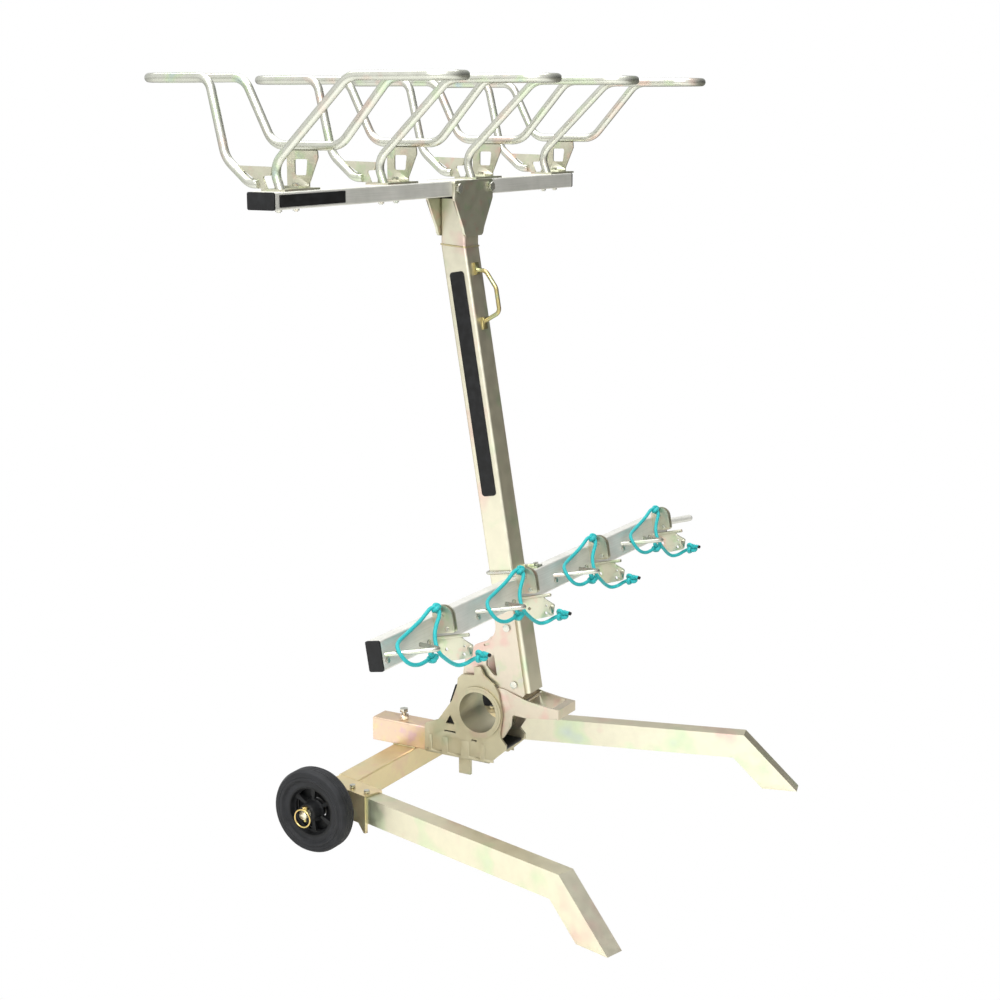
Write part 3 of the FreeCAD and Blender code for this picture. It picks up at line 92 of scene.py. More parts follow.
# ---- places ------------------------------------------------------------------------------------
@dataclass(frozen=True)
class Drawing:
    """Turns places on the drawing, in millimetres, into the row frame, in metres."""

    origin: Vector

    @classmethod
    def from_frame(cls) -> "Drawing":
        """Finds the drawing's origin from the mast joint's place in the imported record.

        Returns:
            The drawing, tied to the frame.
        """
        joint = next(j for j in frame["joints"] if j["name"] == "mast_tilt")
        return cls(Vector(joint["pos_m"]) - Vector(PIVOT_ON_DRAWING) * MM)

    def at(self, x: float, y: float, z: float) -> Vector:
        """Returns the row-frame point of a drawing point."""
        return self.origin + Vector((x, y, z)) * MM

    def on_mast(self, x: float, station: float, offset: float) -> Vector:
        """A point by its place along and off the leaning mast.

        Args:
            x: Place across the mast.
            station: Distance along the mast's axis from the floor.
            offset: Distance from the mast's axis towards the bicycles.

        Returns:
            The point in the row frame.
        """
        y = MAST_ROOT_Y + station * math.sin(LEAN) - offset * math.cos(LEAN)
        z = station * math.cos(LEAN) + offset * math.sin(LEAN)
        return self.at(x, y, z)


# ---- colour and nodes --------------------------------------------------------------------------
def srgb(code: str) -> tuple[float, float, float, float]:
    """Turns a hex sRGB code such as "#d8d2b4" into linear colour.

    Args:
        code: The code, with its hash.

    Returns:
        Red, green, blue and alpha for a shader socket.
    """
    values = [int(code[i:i + 2], 16) / 255 for i in (1, 3, 5)]
    linear = [v / 12.92 if v <= 0.04045 else ((v + 0.055) / 1.055) ** 2.4 for v in values]
    return (linear[0], linear[1], linear[2], 1.0)


def add_node(tree: bpy.types.NodeTree, kind: str, settings: dict | None = None,
             inputs: dict | None = None) -> bpy.types.Node:
    """Adds a node, sets its properties and fills or links its inputs.

    Args:
        tree: The node tree.
        kind: The node's type name.
        settings: Properties of the node.
        inputs: Socket name or number to a value, or to an output socket to link.

    Returns:
        The new node.
    """
    node = tree.nodes.new(kind)
    for name, value in (settings or {}).items():
        setattr(node, name, value)
    for name, value in (inputs or {}).items():
        socket = node.inputs[name]
        if isinstance(value, bpy.types.NodeSocket):
            tree.links.new(value, socket)
        else:
            socket.default_value = value
    return node


def ramp(tree: bpy.types.NodeTree, factor: bpy.types.NodeSocket,
         stops: Sequence[tuple[float, tuple]]) -> bpy.types.NodeSocket:
    """Adds a colour ramp.

    Args:
        tree: The node tree.
        factor: What drives the ramp.
        stops: Place and colour of each stop, in order.

    Returns:
        The ramp's colour output.
    """
    node = add_node(tree, "ShaderNodeValToRGB", inputs={"Fac": factor})
    elements = node.color_ramp.elements
    while len(elements) < len(stops):
        elements.new(0.5)
    for element, (place, colour) in zip(elements, stops):
        element.position = place
        element.color = colour
    return node.outputs["Color"]


def grey(value: float) -> tuple[float, float, float, float]:
    """Returns an opaque grey of that linear value."""
    return (value, value, value, 1.0)


def start_material(name: str) -> tuple[bpy.types.Material, bpy.types.NodeTree, bpy.types.Node,
                                       bpy.types.NodeSocket]:
    """Makes a material with a bare principled shader.

    Args:
        name: The material's name.

    Returns:
        The material, its tree, its shader node and the object coordinates.
    """
    material = bpy.data.materials.new(name)
    material.use_nodes = True
    tree = material.node_tree
    shader = tree.nodes["Principled BSDF"]
    coordinates = add_node(tree, "ShaderNodeTexCoord").outputs["Object"]
    return material, tree, shader, coordinates


def noise(tree: bpy.types.NodeTree, vector: bpy.types.NodeSocket, size_mm: float, detail: float = 3.0,
          stretch: tuple[float, float, float] = (1.0, 1.0, 1.0)) -> bpy.types.NodeSocket:
    """Noise whose features are about size_mm across.

    Args:
        tree: The node tree.
        vector: Coordinates in metres.
        size_mm: Real size of a feature.
        detail: Octaves.
        stretch: How many times longer a feature is along each axis.

    Returns:
        The noise's factor output.
    """
    scale = tuple(1 / s for s in stretch)
    mapped = add_node(tree, "ShaderNodeMapping", inputs={"Vector": vector, "Scale": scale}).outputs[0]
    node = add_node(tree, "ShaderNodeTexNoise",
                    inputs={"Vector": mapped, "Scale": 1000 / size_mm, "Detail": detail, "Roughness": 0.55})
    return node.outputs["Fac"]


def bump(tree: bpy.types.NodeTree, shader: bpy.types.Node, height: bpy.types.NodeSocket, strength: float,
         distance_mm: float) -> None:
    """Feeds a height into the shader's normal.

    Args:
        tree: The node tree.
        shader: The principled shader.
        height: The height, from 0 to 1.
        strength: The bump's strength.
        distance_mm: Real depth of the relief.
    """
    node = add_node(tree, "ShaderNodeBump",
                    inputs={"Height": height, "Strength": strength, "Distance": distance_mm * MM})
    tree.links.new(node.outputs["Normal"], shader.inputs["Normal"])


# ---- finishes ----------------------------------------------------------------------------------
@dataclass(frozen=True)
class PlatedSteel:
    """Mild steel, electroplated with zinc and passivated with chromate.

    The film gives soft patches of rose, green and straw over a satin metal. Its colour also drifts with the
    angle of view towards a darker colour: partly a thin film's drift of hue, partly painted shade at glancing
    angles. The plating is duller in some patches than in others.
    """

    name: str
    straw: str
    rose: str
    green: str
    cool: str
    # painted shade: the darker colour shown where the surface is seen at a glancing angle
    grazing_shade: str
    roughness: float = 0.34
    patch_mm: float = 120.0
    metallic: float = 0.9
    cloud_mm: float = 26.0
    uneven_mm: float = 10.0

    def make(self) -> bpy.types.Material:
        """Returns the finished material."""
        material, tree, shader, place = start_material(self.name)
        # the passivation's interference colours drift from patch to patch
        drift = noise(tree, place, self.patch_mm, 2.5)
        tint = ramp(tree, drift, [(0.32, srgb(self.rose)), (0.43, srgb(self.straw)), (0.55, srgb(self.straw)),
                                  (0.64, srgb(self.green)), (0.74, srgb(self.cool))])
        # painted shade and a thin film's drift of hue: the colour turns towards the finish's darker grazing
        # colour where the surface is seen at a glancing angle
        grazing_shade_mask = add_node(tree, "ShaderNodeLayerWeight", inputs={"Blend": 0.35}).outputs["Facing"]
        film_and_grazing_shade = add_node(tree, "ShaderNodeMix", {"data_type": "RGBA"},
                          {0: grazing_shade_mask, 6: tint, 7: srgb(self.grazing_shade)}).outputs[2]
        # faint clouding from the bath, about a thumb across
        cloud = noise(tree, place, self.cloud_mm, 4.0)
        shade = ramp(tree, cloud, [(0.35, grey(0.90)), (0.65, grey(1.0))])
        mixed = add_node(tree, "ShaderNodeMix", {"data_type": "RGBA", "blend_type": "MULTIPLY"},
                         {0: 0.6, 6: film_and_grazing_shade, 7: shade})
        tree.links.new(mixed.outputs[2], shader.inputs["Base Color"])
        dull = add_node(tree, "ShaderNodeMapRange", inputs={"Value": cloud,
                                                            "From Min": 0.35, "From Max": 0.65,
                                                            "To Min": self.roughness - 0.04,
                                                            "To Max": self.roughness + 0.06})
        tree.links.new(dull.outputs[0], shader.inputs["Roughness"])
        shader.inputs["Metallic"].default_value = self.metallic
        # the rolled surface is very slightly uneven, a few hundredths of a millimetre deep
        uneven = noise(tree, place, self.uneven_mm, 2.0)
        bump(tree, shader, uneven, 0.12, 0.05)
        return material


@dataclass(frozen=True)
class AnodisedAlloy:
    """Extruded aluminium box section, satin anodised: cool grey with die lines along the extrusion."""

    name: str = "satin_anodised_aluminium"
    light: str = "#dddcd6"
    dark: str = "#c6c6bf"
    roughness: float = 0.42
    metallic: float = 0.6
    line_mm: float = 2.0
    line_stretch: float = 60.0
    cloud_mm: float = 70.0

    def make(self) -> bpy.types.Material:
        """Returns the finished material."""
        material, tree, shader, place = start_material(self.name)
        # die lines run along X; the real ones are under 1 mm across and are drawn coarser, so that they show
        lines = noise(tree, place, self.line_mm, 4.0, (self.line_stretch, 1.0, 1.0))
        cloud = noise(tree, place, self.cloud_mm, 3.0)
        blended = add_node(tree, "ShaderNodeMath", {"operation": "MULTIPLY_ADD"}, {0: lines, 1: 0.4, 2: 0.0})
        summed = add_node(tree, "ShaderNodeMath", {"operation": "MULTIPLY_ADD"},
                          {0: cloud, 1: 0.6, 2: blended.outputs[0]})
        colour = ramp(tree, summed.outputs[0], [(0.35, srgb(self.dark)), (0.65, srgb(self.light))])
        tree.links.new(colour, shader.inputs["Base Color"])
        shader.inputs["Metallic"].default_value = self.metallic
        shader.inputs["Roughness"].default_value = self.roughness
        bump(tree, shader, lines, 0.12, 0.03)
        return material


@dataclass(frozen=True)
class MouldedPlastic:
    """Injection-moulded black plastic: a fine spark-eroded grain that breaks the highlight."""

    name: str
    colour: str = "#0d0e0f"
    roughness: float = 0.52
    grain_mm: float = 1.2
    scuffed: str = "#191a1c"
    scuff_mm: float = 18.0

    def make(self) -> bpy.types.Material:
        """Returns the finished material."""
        material, tree, shader, place = start_material(self.name)
        grain = noise(tree, place, self.grain_mm, 3.0)
        scuffs = noise(tree, place, self.scuff_mm, 6.0)
        colour = ramp(tree, scuffs, [(0.45, srgb(self.colour)), (0.80, srgb(self.scuffed))])
        tree.links.new(colour, shader.inputs["Base Color"])
        rough = add_node(tree, "ShaderNodeMapRange", inputs={"Value": scuffs,
                                                             "From Min": 0.3, "From Max": 0.7,
                                                             "To Min": self.roughness - 0.06,
                                                             "To Max": self.roughness + 0.1})
        tree.links.new(rough.outputs[0], shader.inputs["Roughness"])
        shader.inputs["IOR"].default_value = 1.45
        shader.inputs["Specular IOR Level"].default_value = 0.35
        bump(tree, shader, grain, 0.25, 0.04)
        return material


@dataclass(frozen=True)
class SolidRubber:
    """Moulded solid rubber: dark, dry sheen, faint mould bloom."""

    name: str = "moulded_rubber"
    colour: str = "#17181a"
    bloomed: str = "#222326"
    bloom_mm: float = 30.0
    grain_mm: float = 1.4

    def make(self) -> bpy.types.Material:
        """Returns the finished material."""
        material, tree, shader, place = start_material(self.name)
        bloom = noise(tree, place, self.bloom_mm, 5.0)
        colour = ramp(tree, bloom, [(0.35, srgb(self.colour)), (0.75, srgb(self.bloomed))])
        tree.links.new(colour, shader.inputs["Base Color"])
        grain = noise(tree, place, self.grain_mm, 3.0)
        shader.inputs["Roughness"].default_value = 0.62
        shader.inputs["IOR"].default_value = 1.5
        shader.inputs["Specular IOR Level"].default_value = 0.28
        shader.inputs["Sheen Weight"].default_value = 0.04
        shader.inputs["Sheen Roughness"].default_value = 0.4
        bump(tree, shader, grain, 0.4, 0.08)
        return material


@dataclass(frozen=True)
class BraidedPolyester:
    """Braided polyester cord: teal yarns with lighter fibres, painted lighter on the yarns' crowns and darker
    in the grooves between them: painted highlight and painted shade.
    """

    name: str = "braided_polyester_teal"
    # groove is the darkest colour, shown mostly in the grooves as painted shade; light is the lightest, shown
    # mostly on the crowns as painted highlight, together with the fibres' own lighter tone
    groove: str = "#03565b"
    deep: str = "#00878b"
    light: str = "#0fa8a8"
    fibre_mm: float = 1.2
    wear_mm: float = 14.0

    def make(self) -> bpy.types.Material:
        """Returns the finished material."""
        material, tree, shader, place = start_material(self.name)
        fibre = noise(tree, place, self.fibre_mm, 3.0)
        wear = noise(tree, place, self.wear_mm, 3.0)
        # the relief's height lightens the crowns and darkens the grooves: painted highlight and painted
        # shade, added to the random tone of the fibres and the wear
        crown = add_node(tree, "ShaderNodeAttribute", {"attribute_name": "crown"}).outputs["Fac"]
        mixed = add_node(tree, "ShaderNodeMath", {"operation": "MULTIPLY_ADD"}, {0: fibre, 1: 0.35, 2: 0.0})
        summed = add_node(tree, "ShaderNodeMath", {"operation": "MULTIPLY_ADD"},
                          {0: wear, 1: 0.25, 2: mixed.outputs[0]})
        fibre_wear_and_relief_shade = add_node(tree, "ShaderNodeMath", {"operation": "MULTIPLY_ADD"},
                         {0: crown, 1: 0.45, 2: summed.outputs[0]})
        colour = ramp(tree, fibre_wear_and_relief_shade.outputs[0], [(0.15, srgb(self.groove)), (0.42, srgb(self.deep)),
                                               (0.85, srgb(self.light))])
        tree.links.new(colour, shader.inputs["Base Color"])
        shader.inputs["Roughness"].default_value = 0.62
        shader.inputs["Sheen Weight"].default_value = 0.25
        shader.inputs["Sheen Roughness"].default_value = 0.35
        bump(tree, shader, fibre, 0.4, 0.15)
        return material


class Paint(Enum):
    """Every finish on the object. A plated steel's colours are its straw, rose, green, cool and grazing
    colour; the last is a painted shade shown where the surface is seen at a glancing angle.
    """

    # each plated steel's last colour is painted shade, shown where the surface is seen at a glancing angle
    GOLD = PlatedSteel("yellow_passivated_zinc", "#e5e1cc", "#e5cabf", "#d5e1c2", "#cbd8ce", "#9f9472",
                       roughness=0.34, patch_mm=130.0)
    BEAM = PlatedSteel("gold_passivated_beam", "#e6d8b0", "#e3cab0", "#dedab2", "#d8d4b6", "#b7a376",
                       roughness=0.36, patch_mm=60.0)
    ROSE = PlatedSteel("rose_passivated_receiver", "#e4cbb4", "#dcbcc4", "#e2d0aa", "#cfbfd4", "#b09878",
                       roughness=0.34, patch_mm=38.0)
    SILVER = PlatedSteel("clear_passivated_zinc", "#d0d1c6", "#dcc6b9", "#cbd8ba", "#b9cbd0", "#787b70",
                         roughness=0.27, patch_mm=80.0)
    BRACE = PlatedSteel("gold_zinc_handle", "#b5a874", "#c8a390", "#a9ae82", "#acac90", "#756d4a",
                        roughness=0.30, patch_mm=30.0)
    HEAD = PlatedSteel("olive_passivated_casting", "#cdc6ab", "#ccbaa6", "#bec0a4", "#b4b6a4", "#8a8670",
                       roughness=0.46, patch_mm=90.0)
    SHEET = PlatedSteel("laser_cut_zinc_plate", "#d3d1bd", "#dcc4b4", "#c6d2b0", "#bcc6c6", "#8e9078",
                        roughness=0.34, patch_mm=40.0)
    CHEEK = PlatedSteel("rose_zinc_cheek_plate", "#dcd2c2", "#dfc2b8", "#cfd1b8", "#d2c9d0", "#94886f",
                        roughness=0.34, patch_mm=60.0)
    BRIGHT = PlatedSteel("zinc_plated_fasteners", "#d9d8ce", "#dccfba", "#cdd4c4", "#c0c8ca", "#84857a",
                         roughness=0.24, patch_mm=14.0)
    PIN = PlatedSteel("yellow_zinc_pin", "#dcc27c", "#d9a982", "#c9c47c", "#c2b98c", "#8a7440",
                      roughness=0.24, patch_mm=20.0)
    SEAM = PlatedSteel("weld_seam", "#c9bc94", "#b89f86", "#b2b08c", "#9f9f8c", "#7d7457",
                       roughness=0.38, patch_mm=9.0)
    ALLOY = AnodisedAlloy()
    PLASTIC = MouldedPlastic("moulded_black_nylon")
    PLATE = MouldedPlastic("black_anodised_plate", "#0a0a0b", roughness=0.40, grain_mm=0.8)
    RUBBER = SolidRubber()
    CORD = BraidedPolyester()


class Palette:
    """Makes each finish once and hands it out."""

    def __init__(self) -> None:
        """Starts with nothing made."""
        self._made: dict[Paint, bpy.types.Material] = {}

    def get(self, paint: Paint) -> bpy.types.Material:
        """Hands out a finish, which is made on first use.

        Args:
            paint: The finish.

        Returns:
            Its material.
        """
        if paint not in self._made:
            self._made[paint] = paint.value.make()
        return self._made[paint]


# ---- modelling helpers -------------------------------------------------------------------------
def only(piece: bpy.types.Object) -> None:
    """Makes piece the one selected and active object."""
    bpy.ops.object.select_all(action="DESELECT")
    piece.select_set(True)
    bpy.context.view_layer.objects.active = piece


def settle(piece: bpy.types.Object, name: str, angle: float = 38.0,
           merge_mm: float = 0.01) -> bpy.types.Object:
    """Bakes the piece's place into its mesh, merges doubles, turns faces outward and shades it.

    Args:
        piece: The piece.
        name: Its final name.
        angle: Edges sharper than this, in degrees, stay sharp.
        merge_mm: Distance under which points are merged.

    Returns:
        The piece.
    """
    only(piece)
    bpy.ops.object.transform_apply(location=True, rotation=True, scale=True)
    bpy.ops.object.mode_set(mode="EDIT")
    bpy.ops.mesh.select_all(action="SELECT")
    bpy.ops.mesh.remove_doubles(threshold=merge_mm * MM)
    bpy.ops.mesh.normals_make_consistent(inside=False)
    bpy.ops.object.mode_set(mode="OBJECT")
    bpy.ops.object.shade_smooth_by_angle(angle=math.radians(angle))
    # flat faces keep their own normal next to a fillet
    bpy.ops.object.modifier_add(type="WEIGHTED_NORMAL")
    piece.modifiers[-1].keep_sharp = True
    piece.modifiers[-1].weight = 100
    bpy.ops.object.modifier_apply(modifier=piece.modifiers[-1].name)
    piece.name = name
    piece.data.name = name
    return piece


def dress(piece: bpy.types.Object, material: bpy.types.Material) -> None:
    """Gives the whole piece one material."""
    piece.data.materials.clear()
    piece.data.materials.append(material)


def join(pieces: Sequence[bpy.types.Object]) -> bpy.types.Object:
    """Joins pieces into the first one.

    Args:
        pieces: The pieces; the first keeps its name.

    Returns:
        The joined piece.
    """
    bpy.ops.object.select_all(action="DESELECT")
    for piece in pieces:
        piece.select_set(True)
    bpy.context.view_layer.objects.active = pieces[0]
    if len(pieces) > 1:
        bpy.ops.object.join()
    return pieces[0]


def smooth_line(points: Sequence[Vector], closed: bool = False) -> list[Vector]:
    """Reads the smooth line of a NURBS spline whose control points are given.

    Args:
        points: The control points.
        closed: Whether the line is a ring.

    Returns:
        Points along the line.
    """
    curve = bpy.data.curves.new("line", "CURVE")
    curve.dimensions = "3D"
    curve.resolution_u = 24
    spline = curve.splines.new("NURBS")
    spline.points.add(len(points) - 1)
    for target, point in zip(spline.points, points):
        target.co = (point.x, point.y, point.z, 1.0)
    spline.order_u = 3
    spline.use_endpoint_u = not closed
    spline.use_cyclic_u = closed
    holder = bpy.data.objects.new("line", curve)
    mesh = bpy.data.meshes.new_from_object(holder)
    line = [vertex.co.copy() for vertex in mesh.vertices]
    bpy.data.meshes.remove(mesh)
    bpy.data.objects.remove(holder)
    return line


def spread(line: Sequence[Vector], step: float, closed: bool = False) -> list[Vector]:
    """Walks a line in even steps.

    Args:
        line: Points along the line.
        step: Wanted distance between the new points, in metres.
        closed: Whether the line is a ring.

    Returns:
        Evenly spaced points; a ring doesn't repeat its first point.
    """
    corners = list(line) + ([line[0]] if closed else [])
    marks = [0.0]
    for a, b in zip(corners, corners[1:]):
        marks.append(marks[-1] + (b - a).length)
    count = max(4, round(marks[-1] / step))
    result = []
    index = 0
    for i in range(count if closed else count + 1):
        target = marks[-1] * i / count
        while index < len(marks) - 2 and marks[index + 1] < target:
            index += 1
        run = marks[index + 1] - marks[index]
        share = (target - marks[index]) / run if run > 0 else 0.0
        result.append(corners[index].lerp(corners[index + 1], share))
    return result


def line_length(line: Sequence[Vector]) -> float:
    """Returns the length of a line of points."""
    return sum((b - a).length for a, b in zip(line, line[1:]))


def carried_along(line: Sequence[Vector], closed: bool) -> tuple[list[Vector], list[Vector], float]:
    """Carries a side direction along a line without letting it spin.

    Args:
        line: Evenly spaced points.
        closed: Whether the line is a ring.

    Returns:
        The direction of travel and the side direction at each point, and the angle by which a ring's end
        misses its start.
    """
    count = len(line)
    tangents = []
    for i in range(count):
        before = line[i - 1] if closed or i else line[i]
        after = line[(i + 1) % count] if closed or i < count - 1 else line[i]
        tangents.append((after - before).normalized())
    side = tangents[0].orthogonal().normalized()
    sides_at = [side]
    for i in range(1, count):
        turn = tangents[i - 1].rotation_difference(tangents[i])
        sides_at.append((turn @ sides_at[-1]).normalized())
    twist = 0.0
    if closed:
        turn = tangents[-1].rotation_difference(tangents[0])
        last = turn @ sides_at[-1]
        twist = math.atan2(tangents[0].dot(last.cross(side)), last.dot(side))
    return tangents, sides_at, twist


def tube(name: str, line: Sequence[Vector], radius: float, sides: int,
         relief: Callable[[float, float], float], closed: bool = False) -> bpy.types.Object:
    """Skins a line with a round tube whose surface follows a relief.

    Args:
        name: The piece's name.
        line: Evenly spaced points.
        radius: Radius of the crowns, in metres.
        sides: Points round the tube.
        relief: From angle in radians and distance in metres to a height from 0 to 1.
        closed: Whether the line is a ring.

    Returns:
        The tube, with the relief's height in the point attribute "crown".
    """
    count = len(line)
    tangents, sides_at, twist = carried_along(line, closed)
    points, crowns = [], []
    distance = 0.0
    for i in range(count):
        if i:
            distance += (line[i] - line[i - 1]).length
        up = tangents[i].cross(sides_at[i])
        for k in range(sides):
            angle = 2 * math.pi * k / sides + twist * i / count
            height = relief(2 * math.pi * k / sides, distance)
            reach = radius * (1 - RELIEF_DEPTH + RELIEF_DEPTH * height)
            points.append(line[i] + sides_at[i] * (math.cos(angle) * reach) + up * (math.sin(angle) * reach))
            crowns.append(height)
    faces = []
    for i in range(count if closed else count - 1):
        j = (i + 1) % count
        for k in range(sides):
            m = (k + 1) % sides
            faces.append((i * sides + k, i * sides + m, j * sides + m, j * sides + k))
    if not closed:
        faces.append(tuple(reversed(range(sides))))
        faces.append(tuple(range((count - 1) * sides, count * sides)))
    mesh = bpy.data.meshes.new(name)
    mesh.from_pydata(points, [], faces)
    attribute = mesh.attributes.new("crown", "FLOAT", "POINT")
    attribute.data.foreach_set("value", crowns)
    piece = bpy.data.objects.new(name, mesh)
    bpy.context.scene.collection.objects.link(piece)
    only(piece)
    bpy.ops.object.mode_set(mode="EDIT")
    bpy.ops.mesh.select_all(action="SELECT")
    bpy.ops.mesh.normals_make_consistent(inside=False)
    bpy.ops.object.mode_set(mode="OBJECT")
    bpy.ops.object.shade_smooth()
    return piece


@dataclass(frozen=True)
class Braid:
    """Relief of a round braid: yarns that wind both ways and pass over and under."""

    yarns: int = 8
    pitch_mm: float = 3.0

    def __call__(self, angle: float, distance: float) -> float:
        """Gives the height of the yarn that lies on top.

        Args:
            angle: Place round the cord, in radians.
            distance: Place along the cord, in metres.

        Returns:
            The height, from 0 in a groove to 1 on a crown.
        """
        turn = angle * self.yarns / (2 * math.pi)
        climb = distance / (self.pitch_mm * MM)
        left, right = turn + climb, turn - climb
        over = (math.floor(left) + math.floor(right)) % 2 == 0
        return abs(math.sin(math.pi * (left if over else right)))


def plain(angle: float, distance: float) -> float:
    """Returns the relief of a smooth tube."""
    return 1.0


# ---- skins of the CAD nodes --------------------------------------------------------------------
@dataclass
class Skins:
    """Softly shaded copies of the CAD nodes, each in its own finish."""

    palette: Palette
    replaced: frozenset[str]
    finishes: dict[str, Paint] = field(default_factory=lambda: {
        "gold_zinc": Paint.GOLD, "silver_zinc": Paint.SILVER, "head_steel": Paint.HEAD,
        "bar_alloy": Paint.ALLOY, "black_plastic": Paint.PLASTIC, "black_plate": Paint.PLATE,
        "tyre_rubber": Paint.RUBBER, "rope_cord": Paint.CORD, "fastener_zinc": Paint.BRIGHT,
        "gold_pin": Paint.PIN})
    own: dict[str, Paint] = field(default_factory=lambda: {
        "hoop_bracket": Paint.SHEET, "rope_lugs": Paint.SHEET, "rope_guards": Paint.SHEET,
        "gusset_plates": Paint.SHEET, "left_side_plate": Paint.CHEEK, "right_side_plate": Paint.CHEEK,
        "foot_pedal": Paint.CHEEK, "mast_handle": Paint.BRACE, "cross_beam": Paint.BEAM,
        "receiver_tube": Paint.ROSE, "left_leg_sleeve": Paint.BEAM, "right_leg_sleeve": Paint.BEAM})

    def paint_of(self, node: str, slot: str) -> Paint:
        """Finds a node's finish: some plates, the handle and the stand's middle have one of their own.

        Args:
            node: The node's name.
            slot: Its material slot in the record.

        Returns:
            The finish.
        """
        for start, paint in self.own.items():
            if node.startswith(start):
                return paint
        return self.finishes[slot]

    def build(self) -> None:
        """Dresses every node, and copies each one that no modelled piece stands for."""
        slots = {part["node"]: part["material_slot"] for part in frame["record"]["subparts"]}
        for node, source in frame["nodes"].items():
            material = self.palette.get(self.paint_of(node, slots[node]))
            dress(source, material)
            if node in self.replaced:
                continue
            copy = bpy.data.objects.new(node + "_skin", source.data.copy())
            bpy.context.scene.collection.objects.link(copy)
            settle(copy, node + "_skin", angle=32.0, merge_mm=0.02)
            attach(copy, source["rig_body"])
            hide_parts(node)
        log.info("skins: %d nodes", len(frame["nodes"]) - len(self.replaced))


# ---- ropes -------------------------------------------------------------------------------------
@dataclass
class Rope:
    """One cradle's rope: knotted at the loop, wound round the lug and hanging past the leaf to its end.

    Its points are given in millimetres, as point() takes them. A knot adds its turn in degrees and its size.
    """

    number: int
    cradle: float
    drawing: Drawing
    material: bpy.types.Material
    sealed: bpy.types.Material
    diameter: float = 9.0
    step_mm: float = 0.8
    knot_step_mm: float = 0.9
    knot_spread_mm: float = 2.85
    knot_rise_mm: float = 4.7
    knot_points: int = 30
    sealed_steps: int = 5
    sealed_shrink: float = 1.1
    sides: int = 28
    knot_sides: int = 24
    route: tuple[tuple[float, float, float], ...] = (
        (-108.0, -32.0, 50.0), (-126.0, -36.0, 46.0), (-146.0, -36.0, 42.0), (-165.0, -29.0, 38.0),
        (-179.0, -15.0, 34.0), (-184.0, 2.0, 28.0), (-175.0, 14.0, 19.0), (-152.0, 19.0, 11.0),
        (-122.0, 24.0, 8.5), (-90.0, 31.0, 8.0), (-60.0, 39.0, 9.0), (-38.0, 48.0, 10.0),
        (-22.0, 56.0, 12.0), (-11.0, 57.0, 19.0), (-10.0, 47.0, 27.0), (-20.0, 36.0, 30.0),
        (-34.0, 22.0, 29.0), (-47.0, 9.0, 31.0), (-58.0, -5.0, 36.0), (-67.0, -20.0, 44.0),
        (-66.0, -34.0, 49.0), (-52.0, -45.0, 49.0), (-34.0, -56.0, 45.0), (-16.0, -67.0, 43.0),
        (2.0, -77.0, 46.0), (17.0, -76.0, 58.0), (20.0, -67.0, 74.0), (15.0, -62.0, 91.0))
    knots: tuple[tuple[float, float, float, float, float], ...] = (
        (-104.0, -31.0, 54.0, 20.0, 1.25), (-10.5, 52.0, 20.0, 75.0, 1.05), (14.0, -60.0, 98.0, -30.0, 1.4))
    tail: tuple[tuple[float, float, float], ...] = (
        (13.5, -58.0, 104.0), (12.0, -55.0, 112.0), (9.0, -55.0, 119.0), (7.5, -57.0, 125.0))

    def point(self, x: float, level: float, out: float) -> Vector:
        """Returns a point given across from the lug, above the bar's middle and out past the bar's face."""
        return self.drawing.on_mast(self.cradle + x, LOWER_BAR_STATION + level, BAR_FACE + out)

    def knot(self, centre: Vector, turn: float, size: float) -> bpy.types.Object:
        """A tight overhand knot.

        Args:
            centre: Its middle.
            turn: How far it is turned about X, in degrees.
            size: Its size against a snug knot.

        Returns:
            The knot's mesh.
        """
        spread_mm, rise_mm = self.knot_spread_mm * size, self.knot_rise_mm * size
        angle = math.radians(turn)
        controls = []
        for i in range(self.knot_points):
            t = 2 * math.pi * i / self.knot_points
            x = spread_mm * (math.sin(t) + 2 * math.sin(2 * t))
            y = spread_mm * (math.cos(t) - 2 * math.cos(2 * t))
            z = -rise_mm * math.sin(3 * t)
            y, z = y * math.cos(angle) - z * math.sin(angle), y * math.sin(angle) + z * math.cos(angle)
            controls.append(centre + Vector((z, y, x)) * MM)
        line = spread(smooth_line(controls, closed=True), self.knot_step_mm * MM, closed=True)
        return tube("knot", line, self.diameter / 2 * MM, self.knot_sides, Braid(), closed=True)

    def end_stub(self) -> tuple[bpy.types.Object, bpy.types.Object]:
        """Makes the short end past the last knot.

        Returns:
            The braided stub and its heat-sealed tip, which is slightly thinner.
        """
        line = spread(smooth_line([self.point(*p) for p in self.tail]), self.step_mm * MM)
        radius = self.diameter / 2 * MM
        stub = tube("stub", line[:-self.sealed_steps], radius, self.knot_sides, Braid())
        tip = tube("rope_%d_tip" % self.number, line[-self.sealed_steps - 1:], radius / self.sealed_shrink,
                   self.knot_sides, plain)
        return stub, tip

    def build(self) -> None:
        line = spread(smooth_line([self.point(*p) for p in self.route]), self.step_mm * MM)
        piece = tube("rope_%d_braid" % self.number, line, self.diameter / 2 * MM, self.sides, Braid())
        dress(piece, self.material)
        stub, tip = self.end_stub()
        knots = [self.knot(self.point(x, s, o), turn, size) for x, s, o, turn, size in self.knots]
        knotted = join(knots + [stub])
        knotted.name = "rope_%d_knots" % self.number
        dress(knotted, self.material)
        dress(tip, self.sealed)
        for item in (piece, knotted, tip):
            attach(item, "mast")
        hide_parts("rope_%d" % self.number)
        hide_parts("rope_knots")
        log.info("rope %d: %.0f mm", self.number, line_length(line) / MM)


# ---- seams -------------------------------------------------------------------------------------
@dataclass(frozen=True)
class Ripples:
    """Relief of a weld bead: one ripple for each dip of the rod."""

    pitch_mm: float = 3.2

    def __call__(self, angle: float, distance: float) -> float:
        """Returns the ripple's height, from 0 to 1."""
        return 0.5 + 0.5 * math.sin(2 * math.pi * distance / (self.pitch_mm * MM))


